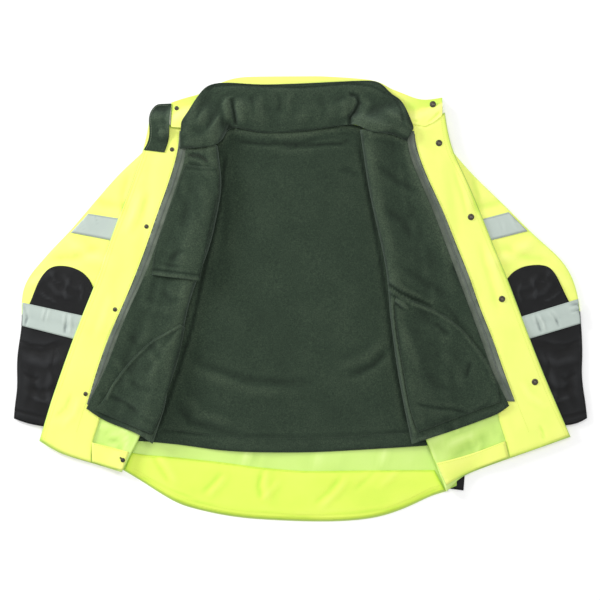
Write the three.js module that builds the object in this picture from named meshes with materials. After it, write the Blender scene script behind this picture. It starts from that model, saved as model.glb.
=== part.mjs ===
// A hi-vis work jacket with its fleece liner zipped in, laid open on its back and seen from above.
// Millimetres. +X is the viewer's right, +Y runs from the hem to the collar, +Z is up off the floor.
// Left and right are the viewer's. Each front is folded like a Z seen end on: from its side seam it runs in
// over the back, turns over at a soft fold, and runs out again with its inside up.
import * as THREE from 'three';

// Thickness of each cloth, and the gap between pieces that lie on each other
const SHELL_WALL = 1.5;
const SLEEVE_WALL = 2.4;
const FLEECE_WALL = 3;
const FACING_WALL = 1.2;
const TRIM_WALL = 1;
const PATCH_WALL = 1.2;
const GAP = 0.4;
const SEAT_GAP = 0.1;

// Sizes of the trim
const ZIP_TAPE_TUCK = 5;
const SLEEVE_HEIGHT = 8.4;
const SOCKET_DIAMETER = 13;
const STUD_DIAMETER = 9;
const TOGGLE_DIAMETER = 9;
const TOGGLE_HEIGHT = 7;

// How far each fold's bend reaches in, and how high its soft roll stands over the layers inside it
const FLEECE_BEND = 14;
const SHELL_BEND = 5;
const FLEECE_LOFT = 11;
const SHELL_LOFT = 5;
const LOFT_WIDTH = 75;
const EDGE_SEAM = 0.6;

const YELLOW = { color: 0xe4ff4a, roughness: 0.7 };
const PALE = { color: 0xd3f08a, roughness: 0.6 };
const FLEECE = { color: 0x3a463a, roughness: 0.95 };
const BLACK = { color: 0x2b2b2f, roughness: 0.8 };
const SILVER = { color: 0xc5cfc8, roughness: 0.35 };
const TAPE_GREY = { color: 0x6a756a, roughness: 0.8 };
const BRONZE = { color: 0x3d3a33, roughness: 0.4, metalness: 0.8 };

// Turns rows of numbers into rows with named columns
const named = (names, row) => Object.fromEntries(names.map((name, i) => [name, row[i]]));
const columns = (names, rows) => rows.map((row) => named(names.split(' '), row));

// Sections of the two fronts from hem to neck: x of each line at height y. fold is the fleece's fold and
// shellFold the shell's inside it, fleece the liner's zipped edge, zip the outer edge of the zip tape, and
// edge the free edge of the shell.
const FRONT = {
  left: columns('y fold shellFold fleece zip edge', [
    [-345, -299, -356, -470, -472, -540],
    [-274, -289, -319, -441, -446, -519],
    [-210, -266, -290, -424, -426, -500],
    [-146, -257, -274, -391, -407, -478],
    [-82, -234, -252, -367, -385, -455],
    [-18, -222, -240, -341, -357, -430],
    [46, -202, -220, -311, -330, -404],
    [110, -177, -196, -287, -306, -383],
    [174, -163, -182, -265, -284, -359],
    [238, -152, -172, -243, -261, -335],
    [302, -160, -178, -226, -243, -312],
    [356, -160, -178, -236, -241, -302],
  ]),
  right: columns('y fold shellFold fleece zip edge', [
    [-382, 240, 291, 480, 490, 590],
    [-274, 219, 248, 441, 456, 541],
    [-210, 206, 224, 417, 432, 513],
    [-146, 194, 212, 385, 408, 486],
    [-82, 185, 203, 363, 386, 461],
    [-18, 177, 195, 339, 360, 437],
    [46, 173, 191, 315, 338, 413],
    [110, 161, 179, 291, 312, 386],
    [174, 146, 164, 267, 287, 361],
    [238, 133, 151, 239, 257, 334],
    [302, 124, 142, 215, 233, 303],
    [374, 112, 130, 217, 226, 290],
  ]),
};

// Where the side seams and armholes run
const SEAM = {
  left: { hem: [-357, -342], waist: [-336, -200], underarm: [-324, 18], shoulder: [-309, 300] },
  right: { hem: [296, -385], waist: [307, -200], underarm: [320, 18], shoulder: [303, 300] },
};

const group = new THREE.Group();

function addPiece(name, geometry, look) {
  const mesh = new THREE.Mesh(geometry, new THREE.MeshStandardMaterial(look));
  mesh.name = name;
  group.add(mesh);
  return mesh;
}

// An edge of a piece is a function from 0 to 1 that gives a point of the plan
const point = ([x, y]) => new THREE.Vector2(x, y);

function smooth(...points) {
  const curve = new THREE.SplineCurve(points.map(point));
  return (s) => curve.getPointAt(s);
}

function straight(...points) {
  const path = new THREE.CurvePath();
  for (let i = 1; i < points.length; i += 1) {
    path.add(new THREE.LineCurve(point(points[i - 1]), point(points[i])));
  }
  return (s) => path.getPoint(s);
}

// The line of one column of a front's sections, between two heights, moved out by shift
function frontLine(side, column, low, high, shift = 0) {
  const rows = FRONT[side];
  const across = new THREE.CubicInterpolant(rows.map((row) => row.y), rows.map((row) => row[column]), 1);
  const out = side === 'left' ? -1 : 1;
  return (s) => {
    const y = THREE.MathUtils.lerp(low, high, s);
    return new THREE.Vector2(across.evaluate(y)[0] + out * shift, y);
  };
}

// The plan of a piece cut between four edges, as rows of points. u runs from `from` to `to`, v along them.
function cut({ from, to, bottom, top }, columnsAcross, rowsAlong) {
  const low = bottom ?? straight(from(0).toArray(), to(0).toArray());
  const high = top ?? straight(from(1).toArray(), to(1).toArray());
  const rows = [];
  for (let j = 0; j <= rowsAlong; j += 1) {
    const v = j / rowsAlong;
    const row = [];
    for (let i = 0; i <= columnsAcross; i += 1) {
      const u = i / columnsAcross;
      const sides = from(v).clone().lerp(to(v), u);
      const ends = low(u).clone().lerp(high(u), v);
      const corners = from(0).clone().lerp(to(0), u).lerp(from(1).clone().lerp(to(1), u), v);
      row.push(sides.add(ends).sub(corners));
    }
    rows.push(row);
  }
  return rows;
}

// The pile holds how high the cloth already laid reaches over each small square of the floor
const SQUARE = 3;
const HALF_SPAN = 600;
const SQUARES = (2 * HALF_SPAN) / SQUARE;
const pile = new Float32Array(SQUARES * SQUARES);

// Visits each square whose middle is in a triangle of the plan, or close beside it, with the weights of its
// corners there
function visitSquares(a, b, c, visit) {
  const doubleArea = (b.x - a.x) * (c.y - a.y) - (c.x - a.x) * (b.y - a.y);
  if (Math.abs(doubleArea) < 0.01) return;
  const toSquare = (value) => Math.floor((value + HALF_SPAN) / SQUARE);
  const left = toSquare(Math.min(a.x, b.x, c.x) - SQUARE);
  const right = toSquare(Math.max(a.x, b.x, c.x) + SQUARE);
  const low = toSquare(Math.min(a.y, b.y, c.y) - SQUARE);
  const high = toSquare(Math.max(a.y, b.y, c.y) + SQUARE);
  const margin = (p, q) => (SQUARE * Math.hypot(p.x - q.x, p.y - q.y)) / Math.abs(doubleArea);
  const margins = [margin(b, c), margin(c, a), margin(a, b)];
  for (let j = low; j <= high; j += 1) {
    for (let i = left; i <= right; i += 1) {
      const x = (i + 0.5) * SQUARE - HALF_SPAN;
      const y = (j + 0.5) * SQUARE - HALF_SPAN;
      const wa = ((b.x - x) * (c.y - y) - (c.x - x) * (b.y - y)) / doubleArea;
      const wb = ((c.x - x) * (a.y - y) - (a.x - x) * (c.y - y)) / doubleArea;
      const weights = [wa, wb, 1 - wa - wb];
      if (weights.some((weight, k) => weight < -margins[k])) continue;
      const kept = weights.map((weight) => Math.max(weight, 0));
      const sum = kept[0] + kept[1] + kept[2];
      visit(j * SQUARES + i, kept.map((weight) => weight / sum));
    }
  }
}

// Visits the two triangles of each cell of a grid, as three [row, column] places
function visitTriangles(grid, visit) {
  for (let j = 1; j < grid.length; j += 1) {
    for (let i = 1; i < grid[j].length; i += 1) {
      visit([[j - 1, i - 1], [j - 1, i], [j, i]]);
      visit([[j - 1, i - 1], [j, i], [j, i - 1]]);
    }
  }
}

// Adds a surface, rows of 3D points, to the pile
function cover(surface) {
  visitTriangles(surface, (places) => {
    const corners = places.map(([j, i]) => surface[j][i]);
    visitSquares(...corners, (square, weights) => {
      const height = weights.reduce((sum, weight, k) => sum + weight * corners[k].z, 0);
      pile[square] = Math.max(pile[square], height);
    });
  });
}

// Lays a plan on the pile: the height of its underside at each point, low and smooth but clear of what is
// below. Each pass evens the heights out and lets them sink, then lifts the corners of each triangle where it
// is too low, none of them above the height that is needed there.
const SETTLING_PASSES = 9;
const SINK = 1.5;

function lay(plan, lift = () => 0) {
  let heights = plan.map((row) => row.map(() => 0));
  const slack = (j, i) => {
    const beside = [heights[j - 1]?.[i], heights[j + 1]?.[i], heights[j][i - 1], heights[j][i + 1]];
    const known = beside.filter((height) => height !== undefined);
    const mean = known.reduce((sum, height) => sum + height, 0) / known.length;
    return Math.max((heights[j][i] + mean) / 2 - SINK, 0);
  };
  for (let pass = 0; pass < SETTLING_PASSES; pass += 1) {
    heights = heights.map((row, j) => row.map((_, i) => slack(j, i)));
    visitTriangles(plan, (places) => {
      const corners = places.map(([j, i]) => plan[j][i]);
      visitSquares(...corners, (square, weights) => {
        if (pile[square] > 0) liftTo(heights, places, weights, pile[square] + GAP);
      });
    });
  }
  return plan.map((row, j) => row.map((p, i) => {
    const across = i / (row.length - 1);
    return new THREE.Vector3(p.x, p.y, heights[j][i] + lift(p, across));
  }));
}

function liftTo(heights, places, weights, needed) {
  const short = () => needed - places.reduce((sum, [j, i], k) => sum + weights[k] * heights[j][i], 0);
  const spread = weights.reduce((sum, weight) => sum + weight * weight, 0);
  for (let round = 0; round < 2; round += 1) {
    const missing = short();
    if (missing <= 0) return;
    places.forEach(([j, i], k) => {
      const lifted = Math.min(heights[j][i] + (missing * weights[k]) / spread, needed);
      heights[j][i] = Math.max(heights[j][i], lifted);
    });
  }
  if (short() <= 0) return;
  places.forEach(([j, i], k) => {
    if (weights[k] > 0) heights[j][i] = Math.max(heights[j][i], needed);
  });
}

const raised = (surface, thickness) => surface.map((row) => row.map((p) => p.clone().setZ(p.z + thickness)));

// The closed wall between two grids of the same size. A ring closes each row on itself.
function wall(outer, inner, ring = false) {
  const across = outer[0].length;
  const along = outer.length;
  const positions = [...outer.flat(), ...inner.flat()].flatMap((p) => p.toArray());
  const half = across * along;
  const triangles = [];
  const quad = (a, b, c, d) => triangles.push(a, b, c, a, c, d);
  const at = (j, i) => j * across + (i % across);
  const last = ring ? across : across - 1;
  for (let j = 0; j < along - 1; j += 1) {
    for (let i = 0; i < last; i += 1) {
      quad(at(j, i), at(j, i + 1), at(j + 1, i + 1), at(j + 1, i));
      quad(half + at(j, i), half + at(j + 1, i), half + at(j + 1, i + 1), half + at(j, i + 1));
    }
  }
  for (let i = 0; i < last; i += 1) {
    quad(at(0, i + 1), at(0, i), half + at(0, i), half + at(0, i + 1));
    quad(at(along - 1, i), at(along - 1, i + 1), half + at(along - 1, i + 1), half + at(along - 1, i));
  }
  for (let j = 0; j < along - 1 && !ring; j += 1) {
    quad(at(j, 0), at(j + 1, 0), half + at(j + 1, 0), half + at(j, 0));
    quad(at(j + 1, last), at(j, last), half + at(j, last), half + at(j + 1, last));
  }
  const geometry = new THREE.BufferGeometry();
  geometry.setAttribute('position', new THREE.Float32BufferAttribute(positions, 3));
  geometry.setIndex(signedVolume(positions, triangles) < 0 ? triangles.reverse() : triangles);
  geometry.computeVertexNormals();
  return geometry;
}

function signedVolume(positions, triangles) {
  const corner = (index) => new THREE.Vector3().fromArray(positions, 3 * index);
  let volume = 0;
  for (let k = 0; k < triangles.length; k += 3) {
    volume += corner(triangles[k]).dot(corner(triangles[k + 1]).cross(corner(triangles[k + 2]))) / 6;
  }
  return volume;
}

// A flat or draped piece: laid on the pile, given its thickness, and added to the pile
function panel(name, plan, thickness, look, lift) {
  const under = lay(plan, lift);
  const over = raised(under, thickness);
  cover(over);
  return addPiece(name, wall(over, under), look);
}

// A flattened tube on the floor: for each row of its plan a ring round the rim of the oval, and one inside it.
// crease(u, v) raises the upper layer a little.
const RIM_STEPS = 2;

function flatTube(name, plan, height, thickness, look, crease = () => 0) {
  const rings = (inset) => plan.map((row, j) => {
    const width = row[0].distanceTo(row.at(-1));
    const radius = height / 2 - inset;
    const place = (distance) => {
      const spot = THREE.MathUtils.clamp(distance / width, 0, 1) * (row.length - 1);
      const i = Math.min(Math.floor(spot), row.length - 2);
      return row[i].clone().lerp(row[i + 1], spot - i);
    };
    const rim = Array.from({ length: RIM_STEPS }, (_, k) => {
      const angle = (k / RIM_STEPS) * (Math.PI / 2);
      return [inset + radius * (1 - Math.cos(angle)), radius * Math.sin(angle)];
    });
    const stations = [...rim];
    for (let i = 0; i < row.length; i += 1) {
      const distance = THREE.MathUtils.lerp(inset + radius, width - inset - radius, i / (row.length - 1));
      stations.push([distance, radius]);
    }
    stations.push(...rim.map(([distance, rise]) => [width - distance, rise]).reverse());
    const fullness = (distance) => {
      const across = distance / width;
      return crease(across, j / (plan.length - 1)) * Math.sin(Math.PI * across);
    };
    const upper = stations.map(([distance, rise]) => {
      const { x, y } = place(distance);
      return new THREE.Vector3(x, y, height / 2 + rise + fullness(distance));
    });
    const lower = stations.slice(1, -1).reverse().map(([distance, rise]) => {
      const { x, y } = place(distance);
      return new THREE.Vector3(x, y, height / 2 - rise);
    });
    return [...upper, ...lower];
  });
  const outer = rings(0);
  const upperCount = outer[0].length / 2 + 1;
  cover(outer.map((ring) => ring.slice(0, upperCount)));
  return addPiece(name, wall(outer, rings(thickness), true), look);
}

// A front's wall: its under layer runs in to the fold, the bend turns over, and the upper layer runs out
// again.
const BEND_STEPS = 4;

function foldedWall(under, upper, bend, thickness) {
  const rows = (inset) => under.map((row, j) => {
    const fold = row.at(-1);
    const low = fold.z + inset;
    const high = upper[j][0].z + thickness - inset;
    const inward = new THREE.Vector3().subVectors(upper[j][0], upper[j][1]).setZ(0).normalize();
    const turn = [];
    for (let k = 1; k < BEND_STEPS; k += 1) {
      const angle = (k / BEND_STEPS - 0.5) * Math.PI;
      const p = fold.clone().addScaledVector(inward, (bend - inset) * Math.cos(angle));
      turn.push(p.setZ((low + high) / 2 + ((high - low) / 2) * Math.sin(angle)));
    }
    const lower = row.map((p) => p.clone().setZ(p.z + inset));
    const higher = upper[j].map((p) => p.clone().setZ(p.z + thickness - inset));
    return [...lower, ...turn, ...higher];
  });
  const outer = rows(0);
  cover(outer.map((row) => row.slice(under[0].length - 1)));
  return wall(outer, rows(thickness));
}

// A fold's soft roll: highest at the fold, and gone by LOFT_WIDTH from it
const roll = (side, column, height) => {
  const fold = frontLine(side, column, -HALF_SPAN, HALF_SPAN);
  return (p) => {
    const away = Math.abs(fold((p.y + HALF_SPAN) / (2 * HALF_SPAN)).x - p.x) / LOFT_WIDTH;
    const fade = 1 - THREE.MathUtils.smoothstep(away, 0, 1);
    return height * fade * (1 + 0.25 * Math.sin(p.y / 37));
  };
};

// The shell's back, flat on the floor, with its long curved tail
function shellBack() {
  const { left, right } = SEAM;
  const inset = ([x, y]) => [x - Math.sign(x) * EDGE_SEAM, y];
  const plan = cut({
    from: straight(...[left.hem, left.waist, left.underarm, left.shoulder].map(inset)),
    to: straight(...[right.hem, right.waist, right.underarm, right.shoulder].map(inset)),
    bottom: smooth(inset(left.hem), [-322, -362], [-281, -389], [-243, -411], [-200, -423], [-148, -434],
      [-87, -441], [28, -446], [104, -444], [162, -436], [219, -416], [265, -393], inset(right.hem)),
    top: smooth(inset(left.shoulder), [-220, 328], [-143, 354], [-80, 348], [0, 350], [80, 358], [130, 350],
      [220, 326], inset(right.shoulder)),
  }, 20, 8);
  panel('shell_back', plan, SHELL_WALL, YELLOW);
}

// Each sleeve is a flattened yellow tube to just below the elbow, then a black one to the cuff
const SLEEVE = {
  left: {
    outer: [[-309, 300], [-326, 284], [-356, 258], [-388, 222], [-416, 190], [-462, 135], [-488, 110],
      [-516, 78], [-544, 46], [-557, 28], [-559, -6], [-558, -30]],
    elbow: [[-558, -30], [-348, -76]],
    forearm: [[-558, -30.6], [-558, -55], [-564, -90], [-568, -123], [-567, -185], [-571, -202],
      [-574, -239]],
    cuff: [[-574, -239], [-555, -247], [-516, -255], [-436, -264]],
  },
  right: {
    outer: [[303, 300], [316, 283], [342, 254], [374, 222], [408, 190], [459, 138], [490, 110], [526, 78],
      [542, 54], [552, 30], [559, 0], [562, -24]],
    elbow: [[562, -24], [348, -76]],
    forearm: [[562, -24.6], [564, -49], [566, -82], [567, -110], [565, -158], [572, -201], [576, -238]],
    cuff: [[576, -238], [567, -248], [533, -253], [438, -264]],
  },
};

function sleeve(side) {
  const { outer, elbow, forearm, cuff } = SLEEVE[side];
  const { shoulder, underarm } = SEAM[side];
  const below = ([x, y]) => [x, y - EDGE_SEAM];
  const upperPlan = cut({
    from: smooth(...outer),
    to: straight(underarm, elbow[1]),
    bottom: straight(shoulder, underarm),
    top: straight(...elbow),
  }, 6, 11);
  const forearmPlan = cut({
    from: smooth(...forearm),
    to: straight(below(elbow[1]), cuff.at(-1)),
    bottom: straight(...elbow.map(below)),
    top: smooth(...cuff),
  }, 6, 7);
  const upperFolds = (u, v) => 1.4 * (1 + Math.sin(9 * v + 4 * u));
  const forearmFolds = (u, v) => 1.4 * (1 + Math.cos(8 * v + 5 * u));
  flatTube(`sleeve_${side}`, upperPlan, SLEEVE_HEIGHT, SLEEVE_WALL, YELLOW, upperFolds);
  flatTube(`forearm_${side}`, forearmPlan, SLEEVE_HEIGHT, SLEEVE_WALL, BLACK, forearmFolds);
}

// The elbow patch and the two reflective bands on each sleeve, down each side from the outer end
const ON_SLEEVE = {
  left: {
    patch: {
      from: [[-552, -31], [-541, -9], [-533, 12], [-521, 40], [-507, 58]],
      to: [[-400, -62], [-408, 0], [-413, 22], [-421, 40], [-437, 55]],
      top: [[-507, 58], [-491, 66], [-462, 65], [-437, 55]],
    },
    bands: {
      upper: [[-459, 133], [-424, 171], [-345, 111], [-330, 156]],
      lower: [[-556, -54], [-556, -7], [-410, -91], [-400, -41]],
    },
  },
  right: {
    patch: {
      from: [[553, -28], [539, -6], [522, 29], [512, 50], [501, 63]],
      to: [[398, -62], [402, 0], [407, 24], [415, 43], [426, 54]],
      top: [[501, 63], [486, 68], [466, 68], [445, 64], [426, 54]],
    },
    bands: {
      upper: [[456, 136], [418, 174], [345, 108], [335, 152]],
      lower: [[562, -49], [557, 0], [415, -93], [405, -47]],
    },
  },
};

function sleeveTrim(side) {
  const { patch, bands } = ON_SLEEVE[side];
  const plan = cut({ from: smooth(...patch.from), to: smooth(...patch.to), top: smooth(...patch.top) }, 7, 6);
  panel(`elbow_patch_${side}`, plan, PATCH_WALL, BLACK);
  for (const [place, [outerLow, outerHigh, innerLow, innerHigh]] of Object.entries(bands)) {
    const band = cut({ from: straight(outerLow, outerHigh), to: straight(innerLow, innerHigh) }, 8, 2);
    panel(`band_${place}_${side}`, band, TRIM_WALL, SILVER);
  }
}

// The liner's back lies on the shell's, and ends above its tail
function fleeceBack() {
  const plan = cut({
    from: straight([-330, -284], [-317, 18], [-296, 286]),
    to: straight([290, -290], [312, 18], [290, 286]),
    bottom: smooth([-330, -284], [-240, -292], [-164, -303], [-87, -307], [28, -307], [142, -301],
      [250, -294], [290, -290]),
    top: smooth([-296, 286], [-220, 318], [-143, 350], [-80, 344], [0, 346], [80, 354], [130, 344],
      [220, 312], [290, 286]),
  }, 16, 12);
  panel('fleece_back', plan, FLEECE_WALL, FLEECE, (p) => 1.6 * (1 + Math.sin(p.x / 46 + p.y / 95)));
}

// The turned-up hem along the inside of the tail
function backHemFacing() {
  const plan = cut({
    from: straight([-351, -342], [-340, -308]),
    to: straight([290, -382], [270, -343]),
    bottom: smooth([-351, -342], [-320, -360], [-280, -386], [-242, -408], [-200, -420], [-148, -431],
      [-87, -438], [28, -443], [104, -441], [161, -433], [218, -413], [264, -390], [290, -382]),
    top: smooth([-340, -308], [-300, -314], [-264, -316], [-144, -329], [-87, -337], [8, -345], [104, -344], [270, -343]),
  }, 18, 2);
  panel('back_hem_facing', plan, FACING_WALL, YELLOW);
}

// A front's hems, from the fold out to the free edge, its neck edge, where its under layer ends at the hem,
// and the lowest and highest y of its folds and edges
const FRONT_ENDS = {
  left: {
    shellHem: [[-378, -340], [-416, -329], [-480, -309]],
    shellNeck: [[-240, 346]],
    fleeceHem: [[-317, -273], [-337, -264], [-375, -250], [-397, -240]],
    underEnd: [-374, -339],
    heights: {
      shellFold: [-345, 322], shellEdge: [-284, 352], fleeceFold: [-282, 312], fleeceEdge: [-219, 352],
    },
  },
  right: {
    shellHem: [[310, -361], [334, -351], [426, -317]],
    shellNeck: [[180, 348], [224, 358], [254, 352]],
    fleeceHem: [[252, -280], [304, -264], [365, -242], [411, -224]],
    underEnd: [314, -374],
    heights: {
      shellFold: [-382, 338], shellEdge: [-276, 374], fleeceFold: [-286, 338], fleeceEdge: [-213, 340],
    },
  },
};

// The rows of a front, and the columns of its under and upper layers
const FRONT_ROWS = 16;
const UNDER_COLUMNS = 3;
const UPPER_COLUMNS = 7;

function front(side) {
  const ends = FRONT_ENDS[side];
  const { shellFold, shellEdge, fleeceFold, fleeceEdge } = ends.heights;
  const { hem, underarm, shoulder } = SEAM[side];
  const inside = ([x, y], by) => [x - Math.sign(x) * by, y];
  const points = (edge) => [edge(0).toArray(), edge(1).toArray()];

  const foldOfFleece = frontLine(side, 'fold', ...fleeceFold, FLEECE_BEND);
  const seamEnds = [[hem[0], fleeceFold[0] + 2], [shoulder[0], 286]];
  const fleeceSeam = straight(inside(seamEnds[0], 16), inside(underarm, 9), inside(seamEnds[1], 14));
  const fleeceUnder = lay(cut({ from: fleeceSeam, to: foldOfFleece }, UNDER_COLUMNS, FRONT_ROWS));
  cover(raised(fleeceUnder, FLEECE_WALL));

  const foldOfShell = frontLine(side, 'shellFold', ...shellFold, SHELL_BEND);
  const shellSeam = straight(ends.underEnd, inside(underarm, 9), inside([shoulder[0], 290], 14));
  const shellUnder = lay(cut({ from: shellSeam, to: foldOfShell }, UNDER_COLUMNS, FRONT_ROWS));
  cover(raised(shellUnder, SHELL_WALL));

  const freeEdge = frontLine(side, 'edge', ...shellEdge);
  const shellUpperPlan = cut({
    from: foldOfShell,
    to: freeEdge,
    bottom: smooth(points(foldOfShell)[0], ...ends.shellHem, points(freeEdge)[0]),
    top: smooth(points(foldOfShell)[1], ...ends.shellNeck, points(freeEdge)[1]),
  }, UPPER_COLUMNS, FRONT_ROWS);
  const shellUpper = lay(shellUpperPlan, roll(side, 'shellFold', SHELL_LOFT));
  addPiece(`shell_front_${side}`, foldedWall(shellUnder, shellUpper, SHELL_BEND, SHELL_WALL), PALE);
  facings(side);
  zipTape(side);

  const zippedEdge = frontLine(side, 'fleece', ...fleeceEdge);
  const fleeceUpperPlan = cut({
    from: foldOfFleece,
    to: zippedEdge,
    bottom: smooth(points(foldOfFleece)[0], ...ends.fleeceHem, points(zippedEdge)[0]),
  }, UPPER_COLUMNS, FRONT_ROWS);
  const fleeceUpper = lay(fleeceUpperPlan, roll(side, 'fold', FLEECE_LOFT));
  addPiece(`fleece_front_${side}`, foldedWall(fleeceUnder, fleeceUpper, FLEECE_BEND, FLEECE_WALL), FLEECE);
}

// The facing inside each free edge, and the turned-up hem between it and the fold
const HEM_FACING = {
  left: {
    bottom: [[-355, -342], [-378, -337], [-416, -326]],
    top: [[-342, -306], [-378, -296], [-417, -287]],
  },
  right: {
    bottom: [[293, -372], [334, -348], [418, -316]],
    top: [[273, -328], [340, -311], [411, -284]],
  },
};
const FACING = {
  left: { hem: [[-418, -327], [-480, -306]], inner: [[-419, -288], [-399, -246], [-398, -214]], top: 342 },
  right: { hem: [[420, -317], [480, -297]], inner: [[413, -285], [394, -232], [390, -204]], top: 347 },
};

function facings(side) {
  const { shellEdge } = FRONT_ENDS[side].heights;
  const { bottom, top } = HEM_FACING[side];
  const facing = FACING[side];
  const freeEdge = frontLine(side, 'edge', shellEdge[0] + 3, shellEdge[1] - 4, -1.5);
  const underTape = frontLine(side, 'zip', -150, facing.top, -9);
  const besideTape = [0, 0.15, 0.35, 0.55, 0.75, 1].map((s) => underTape(s).toArray());
  const plan = cut({
    from: smooth(facing.hem[0], ...facing.inner, ...besideTape),
    to: freeEdge,
    bottom: smooth(...facing.hem, freeEdge(0).toArray()),
  }, 4, 16);
  panel(`front_facing_${side}`, plan, FACING_WALL, YELLOW);
  const hemPlan = cut({ from: smooth(...bottom), to: smooth(...top) }, 2, 4);
  panel(`hem_facing_${side}`, hemPlan, FACING_WALL, YELLOW);
}

// The liner's zip: a tape between the facing and the fleece
function zipTape(side) {
  const { fleeceEdge } = FRONT_ENDS[side].heights;
  const heights = [fleeceEdge[0] + 8, 336];
  const plan = cut({
    from: frontLine(side, 'fleece', ...heights, -ZIP_TAPE_TUCK),
    to: frontLine(side, 'zip', ...heights),
  }, 2, 16);
  panel(`zip_tape_${side}`, plan, TRIM_WALL, TAPE_GREY);
}

// The patch pocket on the left fleece front, and the hand-pocket bags low on both
function pockets() {
  const pocket = cut({
    from: smooth([-229, 268], [-243, 232], [-266, 168], [-291, 96], [-296, 48]),
    to: smooth([-168, 262], [-160, 228], [-172, 168], [-188, 96], [-200, 36]),
  }, 5, 10);
  panel('inner_pocket', pocket, FLEECE_WALL, FLEECE);
  const bags = {
    left: {
      from: [[-240, -50], [-258, -62], [-296, -82], [-327, -110], [-352, -138], [-378, -174],
        [-391, -202], [-412, -222]],
      to: [[-230, -56], [-238, -100], [-252, -150], [-266, -190], [-278, -232], [-296, -270]],
    },
    right: {
      from: [[192, 6], [224, -2], [267, -20], [304, -42], [331, -66], [359, -102], [380, -133],
        [396, -170], [400, -206]],
      to: [[188, -8], [192, -60], [202, -120], [212, -180], [222, -230], [236, -266]],
    },
  };
  for (const [side, { from, to }] of Object.entries(bags)) {
    panel(`pocket_bag_${side}`, cut({ from: smooth(...from), to: smooth(...to) }, 7, 9), FLEECE_WALL, FLEECE);
  }
}

// The shell's collar, spread out above the neck, and the liner's collar rolled softly over it
function collars() {
  const shell = cut({
    from: smooth([-258, 344], [-200, 340], [-143, 350], [-70, 352], [0, 354], [95, 358], [150, 344],
      [224, 350], [254, 345], [285, 368]),
    to: smooth([-258, 394], [-226, 405], [-198, 411], [-172, 428], [-146, 438], [-116, 445], [0, 446.5],
      [56, 446], [150, 438], [180, 422], [203, 414], [243, 399], [285, 404]),
  }, 4, 26);
  panel('shell_collar', shell, SHELL_WALL, YELLOW);
}

function fleeceCollar() {
  const plan = cut({
    from: smooth([-240, 300], [-195, 303], [-158, 312], [-140, 344], [-80, 333], [0, 336], [80, 347],
      [112, 350], [138, 335], [186, 329], [213, 315]),
    to: smooth([-237, 357], [-224, 374], [-214, 391], [-203, 407], [-196, 421], [-178, 431], [-148, 434],
      [-80, 430], [0, 432], [144, 438], [166, 430], [182, 411], [199, 404], [214, 377], [228, 343]),
  }, 7, 26);
  panel('fleece_collar', plan, FLEECE_WALL + 2, FLEECE, (p, u) => 5 * Math.sin(Math.PI * u));
}

// The dark fleece tab at the left collar end, and the small black tab below the right front's hem
function collarTab() {
  const plan = cut({
    from: smooth([-313, 298], [-303, 317], [-301, 340], [-303, 363], [-299, 379], [-287, 391]),
    to: smooth([-271, 293], [-262, 320], [-261, 356], [-258, 392]),
  }, 3, 7);
  panel('collar_tab', plan, 2, BLACK);
}

function sideTab() {
  const plan = cut({ from: straight([299, -380], [302, -346]), to: straight([328, -384], [331, -344]) }, 2, 2);
  panel('side_tab', plan, 2, BLACK);
}

// A snap half or toggle turned on a lathe, and set on whatever it lies on
function button(name, [x, y], profile, segments = 10) {
  const radius = Math.max(...profile.map(([r]) => r));
  const middle = new THREE.Vector2();
  const ring = Array.from({ length: 8 }, (_, k) => (
    new THREE.Vector2(radius, 0).rotateAround(middle, (k * Math.PI) / 4)));
  const under = [middle, ...ring].map((p) => {
    const i = Math.floor((x + p.x + HALF_SPAN) / SQUARE);
    const j = Math.floor((y + p.y + HALF_SPAN) / SQUARE);
    return pile[j * SQUARES + i];
  });
  const height = Math.max(...under);
  const geometry = new THREE.LatheGeometry(profile.map(([r, z]) => new THREE.Vector2(r, z)), segments);
  geometry.rotateX(Math.PI / 2);
  const mesh = addPiece(name, geometry, BRONZE);
  mesh.position.set(x, y, height + SEAT_GAP);
}

const socketRadius = SOCKET_DIAMETER / 2;
const studRadius = STUD_DIAMETER / 2;
const SOCKET_PROFILE = [[0, 0], [socketRadius, 0], [socketRadius, 1.2], [socketRadius - 1.5, 2.2], [3, 2.2],
  [2.2, 1], [0, 1]];
const STUD_PROFILE = [[0, 0], [studRadius, 0], [studRadius, 0.8], [2.2, 1.2], [2.4, 3.4], [1.4, 4], [0, 4]];
const toggleRadius = TOGGLE_DIAMETER / 2;
const TOGGLE_PROFILE = [[0, 0], [toggleRadius - 1, 0], [toggleRadius, 1.5], [toggleRadius, TOGGLE_HEIGHT - 1.5],
  [toggleRadius - 1, TOGGLE_HEIGHT], [0, TOGGLE_HEIGHT]];
const SOCKETS = [[266, 390], [278, 312], [342, 164], [404, 0], [470, -166]];
const STUDS = [[-247, 382], [-256, 299], [-307, 145], [-370, -21], [-429, -190]];

shellBack();
sleeve('left');
sleeve('right');
sleeveTrim('left');
sleeveTrim('right');
sideTab();
fleeceBack();
backHemFacing();
front('left');
front('right');
collars();
fleeceCollar();
pockets();
collarTab();
SOCKETS.forEach((place, i) => button(`snap_socket_${i + 1}`, place, SOCKET_PROFILE));
STUDS.forEach((place, i) => button(`snap_stud_${i + 1}`, place, STUD_PROFILE));
button('hem_toggle', [-354, -322], TOGGLE_PROFILE);

// The origin is the middle of the footprint, on the floor
const box = new THREE.Box3().setFromObject(group);
const middle = box.getCenter(new THREE.Vector3());
group.position.set(-middle.x, -middle.y, -box.min.z);
group.updateMatrixWorld(true);

export default group;
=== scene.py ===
# %% [markdown]
# # A hi-vis work jacket, laid open on its back
# The real thing is a yellow oxford parka with a dark fleece jacket zipped inside it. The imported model
# holds its cloth as plain thin walls in the right places. This lesson copies each wall, rounds it, gives
# it the creases that the cloth has, and lays the pieces on each other again, from the floor up.

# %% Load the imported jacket
import math

import bmesh
import bpy
import numpy as np
from mathutils import Matrix, Vector


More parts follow.
